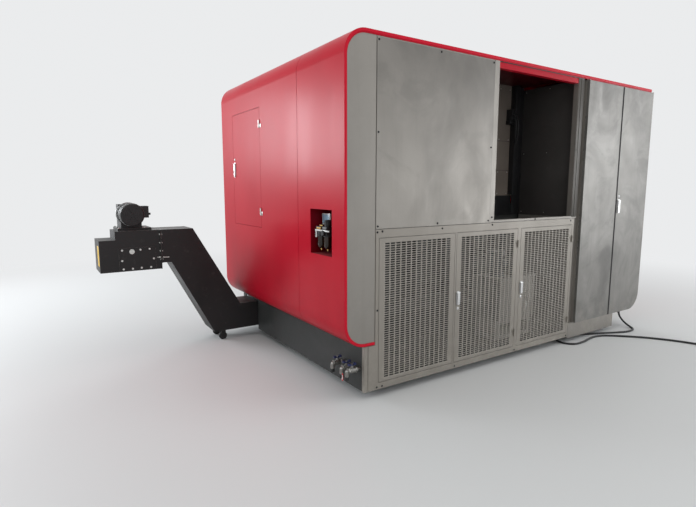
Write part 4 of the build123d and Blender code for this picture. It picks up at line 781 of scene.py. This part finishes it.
def air_unit():
    """Filter and lubricator in the recess, with gauge, bracket, fittings and their switch."""
    _, (low_y, high_y), (low_z, _) = span("air_filter_unit")
    first, second = low_y + 70, high_y - 50
    s = Shape(50, 0, low_z + 144)
    s.box((-36, -29), (first - 70, second + 24), (2, 12), 1)
    for y in (first - 52, first + 42, second + 16):
        s.lathe((-36, y, 7), LEFT, ((0, 5), (2.5, 5), (3.2, 3)), 6)
    s.lathe((-30, second + 18, 2), DOWN, ((0, 7), (6, 7), (6, 5), (34, 5), (40, 7), (44, 4)), 16)
    s.box((34, 45.8), (first + 26, second + 50), (40, 118), 3)
    s.piece("air_bracket", white_plastic, "zinc_sheet", replaces="air_filter_unit")
    for y in (first, second):
        s.box(by(0, 28), by(y, 30), (-22, 33), 5)
        s.lathe((0, y, -18), DOWN, ((0, 30), (9, 30), (11, 27.5), (16, 27.5)), 28)
    s.lathe((-28, first, -8), LEFT, ((0, 9), (4, 9), (4, 18), (16, 18), (18, 16.5), (18, 15)), 28)
    s.piece("air_heads", black, "black_plastic")
    for y in (first, second):
        s.lathe((0, y, -33), DOWN, ((0, 26.5), (56, 26.5), (70, 24), (82, 17), (86, 8)), 28)
    s.piece("air_bowls", smoke, "black_plastic")
    s.lathe((0, first + 29, 6), BACK, ((0, 13), (7, 13), (7, 10), (20, 10), (20, 13), (27, 13)), 6)
    s.lathe((-24, first + 44, 20), BACK, ((0, 9), (12, 9), (12, 7), (40, 7), (40, 9), (52, 9)), 6)
    for y in (first, second):
        s.lathe((0, y, -117), DOWN, ((0, 7), (5, 7), (5, 4.5), (13, 4.5), (13, 2)), 12)
    s.lathe((0, second, 33), UP, ((0, 13), (8, 13), (11, 9), (11, 4)), 6)
    s.piece("air_fittings", brass, "brass")
    s.box((33.2, 34.3), (first + 34, second + 42), (48, 110), 0.5)
    s.piece("air_switch_face", pale_blue, "black_plastic")
    s.lathe((-45.2, first, -8), LEFT, ((0, 15.4), (0.6, 15.4)), 28)
    s.piece("gauge_dial", white_plastic, "zinc_sheet")
    for out, up in around(12.5, -45, 33.75, 9):
        s.box((-46.2, -45.7), by(first + out, 0.7), by(up - 8, 0.7))
    s.tube([(-46.4, first + 2, -12), (-46.4, first - 6, 2)], 0.7, 6)
    s.lathe((-45.6, first, -8), LEFT, ((0, 2.4), (1.4, 2)), 10)
    s.piece("gauge_needle", black, "black_plastic")
    s.box((20, 96.7), (first - 26, second + 26), (-6, 30), 2)
    s.piece("air_carrier", zinc, "zinc_sheet")


def valves():
    """Turned bodies, hexagons, drain elbows and hose ends of the three ball valves, with a tag."""
    places = [sum(span(f"valve_lever_{number}")[1]) / 2 for number in (1, 2, 3)]
    axis_x = sum(span("valve_lever_1")[0]) / 2
    axis_z = span("valve_bank")[2][0] + 60
    nut = ((0, 21), (1.5, 22), (10, 22), (11.5, 20.5))
    s = Shape(axis_x, 0, axis_z)
    for y in places:
        s.lathe((-22, y, 0), RIGHT, ((0, 15), (3, 19), (20, 20), (24, 20), (41, 19), (44, 15)))
        for side in (-1, 1):
            s.lathe((side * 22, y, 0), (side, 0, 0), nut, 6)
        s.lathe((33, y, 0), RIGHT, ((0, 12), (28.6, 12)), 20)
        s.lathe((0, y, 17), UP, ((0, 13), (6, 13), (6, 9), (17, 9), (17, 4), (24, 4)), 16)
        s.lathe((0, y, 41), UP, ((0, 6.5), (4.5, 6.5), (5.5, 5)), 6)
        s.tube(bend([(-32, y, 0), (-38, y, -1), (-40, y, -8), (-40, y, -30)]), 13, 18)
        s.lathe((-40, y, -22), DOWN, ((0, 15), (6, 15), (6, 12.8), (20, 12.8)), 18)
    s.piece("valve_bodies", nickel, "brass", replaces="valve_bank")
    for y in places:
        s.lathe((-40, y, -36), DOWN, ((0, 13), (2, 14.2), (22, 14.2), (24, 12.5), (24, 10)), 20)
        for ridge in (6, 12, 18):
            s.lathe((-40, y, -36 - ridge), DOWN, ((0, 14.2), (0.8, 15), (1.6, 14.2)), 20)
    s.piece("hose_ends", rubber, "wheel_rubber")
    y = places[1] - 12
    s.tube(bend([(-38, y + 8, -18), (-42, y, -20), (-44, y - 4, -30)], 4), 0.9, 8)
    s.box((-45, -43.6), (y - 13, y + 5), (-78, -28), 0.6)
    s.piece("valve_tag", signal_red, "red_plastic")
    s.box((-45.6, -44.9), (y - 9, y + 1), (-70, -38), 0.3)
    s.piece("valve_tag_field", white_plastic, "zinc_sheet")


# Chip conveyor

# From the low corner of the head, along X and Z
HEAD_BOLTS = ((166, 174), (236, 173), (306, 173), (377, 175), (163, 89), (407, 92), (170, 20),
              (240, 20), (308, 22), (382, 22))


def conveyor_fittings():
    """Bolts of the side plates and flanges, the belt adjusters and the motor's trim."""
    (head_x, _), (left, right), (head_z, _) = span("conveyor_head")
    s = Shape(head_x, 0, head_z)
    for face, way in ((left + 13, -1), (right - 13, 1)):
        for x, z in HEAD_BOLTS:
            s.bolt((x, face, z), (0, way, 0), 5.5, 4.5)
        for z in (80, 150, 220, 290):
            s.bolt((463.7, face - way * 6, z), LEFT, 5.5, 5)
            s.bolt((476, face - way * 6, z), RIGHT, 5.5, 5)
        # Adjuster: a rod with its nut at the end of a slot
        s.tube([(435, face + way * 4, 100), (530, face + way * 4, 95)], 3.6, 10)
        s.bolt((448, face + way * 4, 99.3), RIGHT, 6, 8)
    for x in (160, 360):
        for y in (1820, 1930, 2050):
            s.bolt((x, y, 350), UP, 7, 6)
    s.piece("conveyor_bolts", zinc, "ground_steel")
    (motor_x, _), (motor_y, _), (_, motor_top) = span("conveyor_motor")
    s = Shape(motor_x + 110, motor_y, motor_top - 92)
    s.lathe((0, 56, 0), BACK, ((0, 88), (0, 95), (9, 95), (12, 90), (12, 84)), 40)
    s.lathe((0, 208, 0), BACK, ((0, 84), (0, 97), (12, 97), (12, 84)), 40)
    for out, up in around(90, 45, 90, 4):
        s.bolt((out, 205, up), FRONT, 5, 5)
    s.piece("motor_flanges", light_grey, "motor_paint")
    for radius in (18, 34, 50, 66):
        hoop = ((0, radius), (1.6, radius), (1.6, radius - 5), (0.4, radius - 5.2))
        s.lathe((0, 0.6, 0), FRONT, hoop, 36)
    for turn in range(6):
        ends = (polar(radius, 60 * turn) for radius in (10, 72))
        s.tube([(out, -0.8, up) for out, up in ends], 1.8, 8)
    s.box((58, 142), (88, 192), (60, 67), 3)
    s.lathe((140, 140, 0), RIGHT, ((0, 14), (8, 14), (8, 11), (22, 10), (22, 6)), 6)
    s.piece("motor_grille", black, "motor_paint")
    s = Shape(head_x, 0, head_z)
    s.box((-0.5, 1), (1795, 1885), (50, 215), 0.2)
    s.piece("nose_plate", warning, "red_plastic")


# Operator side

def operator_side():
    """Window seal and bright bar of the sliding door."""
    door_x, door_y, _ = span("operator_door")
    pane_x, (_, pane_back), pane_z = span("door_window")
    face = span("door_window")[1][0] + 24
    middle = (sum(pane_x) / 2, sum(pane_z) / 2)
    inner, outer = (round_outline(middle, (pane_x[1] - pane_x[0] + 2 * reach,
                                           pane_z[1] - pane_z[0] + 2 * reach), 60 + reach, 8)
                    for reach in (-10, 12))
    levels = ((inner, pane_back + 0.4), (inner, face + 3), (outer, face + 3), (outer, face - 1))
    s = Shape()
    s.skin([[at(x, y, z) for x, z in outline] for outline, y in levels], ends=False)
    s.piece("window_seal", rubber, "wheel_rubber", "operator_door", sharp=50)
    bar_x, bar_y = door_x[0] + 110, door_y[1] - 13
    s.lathe((bar_x, bar_y, 1179.4), UP, ((0, 10), (2, 13.4), (459, 13.4), (461, 10)))
    for z in (1205, 1615):
        s.lathe((bar_x, face - 4, z), BACK, ((0, 14.4), (6, 14.4), (8, 11.4), (44, 11.4)), 20)
    s.piece("door_bar", chrome, "handle_metal", "operator_door")


def control_box():
    """Screen with its bezel, caps of the keys, dial of the knob and the ring of the stop button."""
    body = "control_pendant"
    low_x, high_x = span(body)[0]
    middle_x = high_x - 275
    display, keys = Shape(middle_x, 2329, 1560), Shape(middle_x, 2374, 1240)
    display.lean(4.29)
    keys.lean(14.04)
    display.box(by(0, 202), (-7, -5.4), by(0, 143), 0.6)
    display.piece("screen_pane", screen, "black_plastic", body)
    for side in (-1, 1):
        display.box((side * 200, side * 219), (-7, -2.5), by(0, 159), 1.2)
        display.box(by(0, 219), (-7, -2.5), (side * 141, side * 160), 1.2)
    display.piece("screen_bezel", black, "black_plastic", body)
    colours = {"key_caps": light_grey, "red_keys": signal_red, "green_keys": go_green,
               "black_keys": black}
    odd_keys = {(0, 2): "green_keys", (4, 0): "green_keys", (1, 2): "red_keys", (5, 0): "red_keys"}
    for kind, look in colours.items():
        for column in range(8):
            for row in range(3):
                usual = "black_keys" if column in (3, 6) else "key_caps"
                if odd_keys.get((column, row), usual) == kind:
                    x, up = 34 * (column - 3.5), 61.85 * (1 - row)
                    keys.box(by(x, 9.6), (2.6, 4.6), by(up, 9.6), 1)
        keys.piece(kind, look, "black_plastic", body)
    for up, out in around(32, -135, 27, 11):
        keys.box(by(out - 185, 1), (0, 0.9), by(up, 3), 0.2)
    keys.piece("knob_dial", white_plastic, "zinc_sheet", body)
    keys.lathe((195, 0, 0), BACK, ((0, 12.5), (0, 33), (1.2, 33), (1.6, 32.4), (1.6, 12.5)), 40)
    keys.piece("stop_ring", warning, "red_plastic", body)
    screw = ((0, 5), (1.6, 5), (2.6, 3.6), (2.6, 1.6), (1.2, 1.5))
    for x in (low_x + 58 - middle_x, 263):
        for z in (-182, 182):
            display.lathe((x, 0, z), BACK, screw, 14)
    display.piece("box_screws", zinc, "ground_steel", body)


# Tools

TURRET_MIDDLE = (1025.94, 1384.06)


def socket_screw(radius, hole):
    return (0, radius), (5, radius), (5, hole + 0.2), (2.5, hole)


def tooling():
    """Cutting inserts, tool shanks and clamp screws on the turret, and the screws of its disc."""
    start = span("turret_disc")[0][0]
    shanks, inserts, screws = (Shape(start, *TURRET_MIDDLE) for _ in range(3))
    for face in range(0, 12, 2):
        for shape in (shanks, inserts, screws):
            shape.lean(30 * face)
        if face % 4:
            for x in (22, 73):
                for y in (-25, 25):
                    screws.lathe((x, y, 175), UP, socket_screw(5.5, 2.8), 12)
            continue
        shanks.box((37.6, 66.4), (-14.4, 12.4), (201.5, 219.4), 0.8)
        insert = ((44.2, 209), (52, 201.2), (59.8, 209), (52, 216.8))
        inserts.skin([[inserts.at(x, y, z) for x, z in insert] for y in (-19.2, -16.8)])
        for x in (20, 78):
            screws.lathe((x, -22, 201), UP, socket_screw(6, 3), 12)
    screws.lean(0)
    for out, up in around(96, 22.5, 45, 8):
        screws.lathe((87, out, up), RIGHT, socket_screw(6, 3), 12)
    screws.lathe((95, 0, 0), RIGHT, ((0, 40), (3, 40), (5, 37), (5, 20), (8, 18), (8, 8)), 32)
    shanks.piece("tool_shanks", black_oxide, "ground_steel", "turret")
    inserts.piece("tool_inserts", gold, "brass", "turret", sharp=20)
    screws.piece("turret_screws", black_oxide, "ground_steel", "turret")


# Behind the slotted doors

def hydraulics():
    """Tank with its lid and ribs, finned motor, valve block, gauge, level glass, cap and hoses."""
    (low_x, high_x), y, (low_z, _) = span("hydraulic_unit")
    length = high_x - low_x
    inner_y = (y[0] + 30, y[1] - 30)
    top = 640
    s = Shape(low_x, 0, 0)
    s.box((8, length - 8), (y[0] + 8, y[1] - 8), (272, top - 13), 6)
    s.box((0, length), y, (top - 14, top), 2)
    for x in (20, length - 20):
        s.box(by(x, 12), y, (272, top - 13), 3)
    for x in (35, length - 35):
        s.box(by(x, 25), inner_y, (low_z, 310), 2)
    for z in ((232, 272), (low_z, low_z + 40)):
        s.box((60, length - 60), inner_y, z, 1)
    s.lathe((400, y[0] + 2, 455), FRONT, ((0, 60), (4, 60), (4, 44), (6, 42)), 36)
    s.piece("fluid_tank", tank_grey, "zinc_sheet", replaces="hydraulic_unit")
    s = Shape(low_x + 120, sum(y) / 2, top)
    s.lathe((0, 0, 0), UP, ((0, 64), (40, 64), (48, 72), (56, 72), (56, 66), (182, 66),
                            (184, 80), (214, 80), (220, 72), (220, 0)), 40)
    for fin in range(28):
        s.lean(360 * fin / 28, "Z")
        s.box((64, 79), by(0, 1.3), (56, 183))
    s.lean(0)
    s.box(by(0, 26), (-94, -62), (96, 150), 4)
    s.piece("pump_motor", motor_grey, "motor_paint")
    s = Shape(low_x, 0, top)
    valve_x = (255, 305)
    s.box((230, 330), (210, 300), (0, 70), 2)
    for x in valve_x:
        s.box(by(x, 18), (232, 330), (70, 112), 2)
    s.piece("valve_block", ground, "zinc_sheet")
    for x in valve_x:
        for ends in ((180, 232), (330, 390)):
            s.box(by(x, 16), ends, (73, 110), 4)
        s.box(by(x, 10), (190, 220), (110, 128), 3)
    cap = (length - 60, y[1] - 60)
    s.lathe((*cap, 18), UP, ((0, 34), (2, 36), (20, 36), (22, 33), (22, 0)))
    s.piece("coils_and_cap", black, "black_plastic")
    s.lathe((*cap, 0), UP, ((0, 34), (3, 34), (3, 28), (18, 28)))
    s.lathe((355, 250, 0), UP, ((0, 8), (52, 8)), 12)
    s.lathe((355, 250, 74), FRONT, ((-10, 26), (10, 26), (12, 24), (12, 22)), 28)
    s.box((352, 376), (y[0] + 4.4, y[0] + 8), (-310, -220), 1.5)
    s.piece("unit_metal", zinc, "ground_steel")
    s.lathe((355, 237.6, 74), FRONT, ((0, 22), (0.8, 22)), 28)
    s.piece("unit_gauge", white_plastic, "zinc_sheet")
    for count, x in enumerate((250, 280, 310)):
        z = 26 + 12 * (count % 2)
        s.tube(bend([(x, 302, z), (x, 340, z + 4), (x - 20, 410, 60 + 30 * count),
                     (x - 60, 500, 140 + 34 * count), (x - 110, 590, 160 + 34 * count)]), 9)
        s.lathe((x, 300, z), BACK, ((0, 12), (14, 12), (14, 10.5), (30, 10.5)), 6)
    s.piece("unit_hoses", rubber, "cable_rubber")


# Inside the cabinet

def cabinet_fronts():
    """Fronts of the drives and breakers, lids of the ducts and the wires between them."""
    (low_x, high_x), (_, back_y), (low_z, high_z) = span("cabinet_gear")
    width, height = high_x - low_x, high_z - low_z
    drive_low, drive_high = height - 480, height - 80
    kinds = [Shape(low_x, back_y - 18, low_z) for _ in range(6)]
    fronts, panels, toggles, screws, lids, wires = kinds
    terminal = ((0, 7), (8, 7), (8, 3), (6, 3))
    for count in range(5):
        left = 60 + count * width / 7
        right = left + width / 7 - 18
        face = -210 if count else -250
        for z in ((drive_low + 62, drive_high - 150), (drive_high - 24, drive_high - 1)):
            fronts.box((left + 1, right - 1), (face - 2.2, face), z, 0.8)
        inside = (left + 18, right - 18)
        toggles.box(inside, (face - 3.4, face - 2), (drive_high - 214, drive_high - 176), 0.8)
        panels.box(inside, (face - 3, face - 2), (drive_low + 80, drive_low + 140), 0.6)
        for screw in range(4):
            x = left + 18 + (right - left - 36) * screw / 3
            screws.lathe((x, face + 26, drive_low + 30), FRONT, terminal, 10)
            wires.tube(bend([(x, face + 20, drive_low + 24), (x, face + 26, drive_low - 10),
                             (x, -60, drive_low - 58)], 5), 3.2, 8)
    for rail in (645, 355):
        left, poles = 60, 3
        while left < width - 120:
            right = left + (70 if poles == 3 else 38)
            width_x = (left + 0.5, right - 0.5)
            for low, high in ((-21.5, -6), (10, 21.5)):
                panels.box(width_x, (-75.6, -74), (rail + low, rail + high), 0.4)
            for low in (-43.5, 22.5):
                panels.box(width_x, (-61.4, -60), (rail + low, rail + low + 21), 0.4)
            toggles.box((left + 3, right - 3), (-86.5, -84), (rail - 3.6, rail + 7.6), 1)
            for pole in range(poles):
                x = left + (right - left) * (pole + 0.5) / poles
                for side, reach in ((-1, 104), (1, 96)):
                    wires.tube(bend([(x, -50, rail + side * 43), (x, -56, rail + side * 60),
                                     (x + 3, -50, rail + side * reach)], 4), 2.4, 8)
                    screws.lathe((x, -61, rail + side * 33), FRONT, ((0, 4), (1.2, 4), (1.2, 1)), 8)
            left, poles = right + 4, 4 - poles
    for low in (470, 180, drive_low - 130):
        lids.box((29.5, width - 29.5), (-73, -69.8), (low - 1, low + 76), 1.5)
    for coil in range(3):
        wires.lathe((110 + 85 * coil, -184, 70), BACK, ((-6, 30), (0, 36), (3, 36)))
    fronts.piece("drive_fronts", charcoal_inside, "black_plastic")
    panels.piece("breaker_fronts", white_plastic, "zinc_sheet")
    toggles.piece("breaker_toggles", black, "black_plastic")
    screws.piece("terminal_screws", zinc, "ground_steel")
    lids.piece("duct_lids", light_grey, "zinc_sheet")
    wires.piece("cabinet_wires", black, "cable_rubber")


# Mains cable, through the same points as its solid, then its put-away coil

CABLE_DIAMETER = 18
LYING = CABLE_DIAMETER / 2
CABLE_ROUTE = [(3380, 62, 166), (3380, 62, 118), (3390, 36, 68), (3394, -14, 26)]
CABLE_ROUTE += [(x, y, LYING) for x, y in (
    (3378, -72), (3326, -124), (3258, -140), (3172, -132), (3082, -96), (2990, -54), (2882, -8),
    (2768, 42), (2654, 90), (2545, 116), (2417, 118), (2363, 78), (2342, 15), (2363, -48),
    (2417, -88), (2545, -84), (2650, -62), (2758, -48), (2856, -70), (2938, -128), (3018, -204),
    (3112, -296), (3204, -420), (3276, -552), (3322, -672), (3346, -770), (3354, -846),
    (3357, -905))]
COIL_MIDDLE = [sum(ends) / 2 for ends in span("mains_cable_coil")[:2]]
COIL_OUTER = 109
COIL_INNER = 90
COIL_UPPER = LYING + CABLE_DIAMETER + 0.6


def eased(turn, start, end):
    """From 0 to 1 between two turns of the coil, in degrees."""
    return min(max((turn - start) / (end - start), 0), 1)


def coil_points():
    """Three turns: one outside, one inside it, and one on top of the first."""
    points = []
    for step in range(1, 49):
        turn = step * 22.5
        inward = eased(turn, 300, 360) - eased(turn, 720, 790)
        x, y = polar(COIL_OUTER + (COIL_INNER - COIL_OUTER) * inward, 180 + turn)
        height = LYING + (COIL_UPPER - LYING) * eased(turn, 590, 660)
        points.append((COIL_MIDDLE[0] + x, COIL_MIDDLE[1] + y, height))
    return points


def mains_cable():
    tail = [(COIL_MIDDLE[0] - COIL_OUTER, -930, COIL_UPPER + 1), (3357, -950, 31), (3357, -985, 33)]
    points = CABLE_ROUTE + coil_points() + tail
    curve = bpy.data.curves.new("mains_lead", "CURVE")
    curve.dimensions = "3D"
    curve.bevel_depth = CABLE_DIAMETER / 2 * MM
    curve.bevel_resolution = 4
    curve.resolution_u = 8
    curve.use_fill_caps = True
    spline = curve.splines.new("NURBS")
    spline.points.add(len(points) - 1)
    for target, point in zip(spline.points, points):
        target.co = (*at(*point), 1)
    spline.order_u = 3
    spline.use_endpoint_u = True
    curve.materials.append(cable_skin)
    lead = add("mains_lead", curve)
    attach(lead, "machine")
    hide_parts("mains_cable", "mains_cable_coil")


def gland_boot():
    """Tapered boot where the cable leaves the gland under the cabinet."""
    s = Shape(*CABLE_ROUTE[0])
    s.lathe((0, 0, 0), DOWN, ((-0.5, 15), (3, 15), (5, 13.5), (38, 10.4), (40, 9.2)))
    for ridge in range(4):
        less = 0.7 * ridge
        s.lathe((0, 0, -9 - 7 * ridge), DOWN,
                ((0, 12.6 - less), (1, 14.4 - less), (3, 14.4 - less), (4, 12.2 - less)))
    s.piece("gland_boot", rubber, "cable_rubber")


# Screws of the fixed grey covers

def service_screws():
    plate_x, _, plate_z = span("upper_plate")
    x0, x1 = plate_x[0] + 14, plate_x[1] - 14
    z0, z1 = plate_z[0] + 16, plate_z[1] - 14
    places = [(x, z) for x in (x0, (x0 + x1) / 2, x1) for z in (z0, z1)]
    places += [(x0, (z0 + z1) / 2 + 20), (x1, (z0 + z1) / 2 - 30)]
    bottom, top = span("lower_frame")[2]
    bottom, top = bottom + 16, top - 18
    places += [(252, top), (292, top + 4), (820, top), (1340, top + 4), (2352, top), (256, 600)]
    places += [(x, bottom) for x in (256, 300, 980, 1665, 2380)]
    places += [(1330, 1176), (1855, 1145), (2366, 1720)]
    s = Shape()
    for x, z in places:
        s.button_head((x, 0, z), FRONT)
    s.piece("service_screws", black_oxide, "dark_paint", sharp=40)


# Floor, backdrop and light

def plain_floor():
    """Pale floor that goes over into the backdrop well away from the machine."""
    reach = 60000
    corners = [at(x * reach, y * reach, 0) for x, y in ((-1, -1), (1, -1), (1, 1), (-1, 1))]
    mesh = bpy.data.meshes.new("studio_floor")
    mesh.from_pydata(corners, [], [(0, 1, 2, 3)])
    look = Look("studio_floor", (0.7, 0.71, 0.71), 0, 0.55)
    look.rough(look.noise(0.7, 3), 0.3, 0.7, 0.5, 0.62)
    far = look.fit(look.node("VectorMath", "Value", look.place, operation="LENGTH"), 2.6, 7.5)
    far.node.interpolation_type = "SMOOTHSTEP"
    factor = look.math("MULTIPLY", far, look.seen_directly())
    look.lay_backdrop("Emission", factor, look.shader.outputs[0], "Material Output")
    mesh.materials.append(look.material)
    add("studio_floor", mesh)


def lamp(name, place, target, size, power, color=(1, 1, 1), mirrored=True):
    data = bpy.data.lights.new(name, "AREA")
    data.shape = "RECTANGLE"
    data.size, data.size_y = size
    data.energy = power
    data.color = color
    light = add(name, data)
    light.visible_glossy = mirrored
    light.location = at(*place)
    light.rotation_euler = (at(*target) - at(*place)).to_track_quat("-Z", "Y").to_euler()


def studio():
    world = bpy.data.worlds.new("studio")
    world.use_nodes = True
    bpy.context.scene.world = world
    sky = Nodes(world.node_tree)
    light = sky.tree.nodes["Background"]
    light.inputs["Color"].default_value = (0.93, 0.95, 0.97, 1)
    light.inputs["Strength"].default_value = 0.3
    sky.lay_backdrop("Background", sky.seen_directly(), light.outputs[0], "World Output")
    middle, cool = (1700, 900, 1100), (0.97, 0.985, 1)
    lamp("overhead", (1500, -400, 5600), middle, (11, 8), 190, (1, 0.99, 0.97))
    lamp("right_window", (6400, -3900, 1500), (2000, 0, 1300), (4, 1.8), 90, cool)
    lamp("right_strip", (9000, -4600, 3300), (3000, 0, 1500), (4.5, 1.2), 60, cool)
    lamp("left_window", (-7500, 2600, 4600), (0, 1000, 1500), (7, 5), 150, cool)
    lamp("side_sheen", (-4300, 6500, 2550), (0, 1200, 1700), (3.4, 1.6), 260, (0.93, 0.965, 1))
    lamp("camera_fill", (-1400, -5200, 2600), middle, (3.5, 2.5), 40)
    lamp("operator_fill", (5200, 7400, 3400), middle, (3.2, 3), 190, mirrored=False)


plain_floor()
studio()
slotted_sheet("panel_slots", "slotted_panel", "machine")
for number in (1, 2):
    node = f"slotted_door_{number}"
    slotted_sheet(f"door_slots_{number}", node, node)
    lever_seat(f"{node}_seat", SMALL_SEAT, node, f"{node}_handle", 0)
    slotted_door_hinges(node)
lever_seat("access_handle_seat", LARGE_SEAT, "access_door", "access_door_handle", 0, "x")
lever_seat("cabinet_handle_seat", LARGE_SEAT, "cabinet_right_leaf", "cabinet_handle", -22)
access_hinges()
cabinet_trim()
shell_rim()
service_bay()
spindle_end()
air_unit()
valves()
conveyor_fittings()
operator_side()
control_box()
tooling()
hydraulics()
cabinet_fronts()
mains_cable()
gland_boot()
service_screws()

bpy.context.scene.view_settings.view_transform = "Standard"
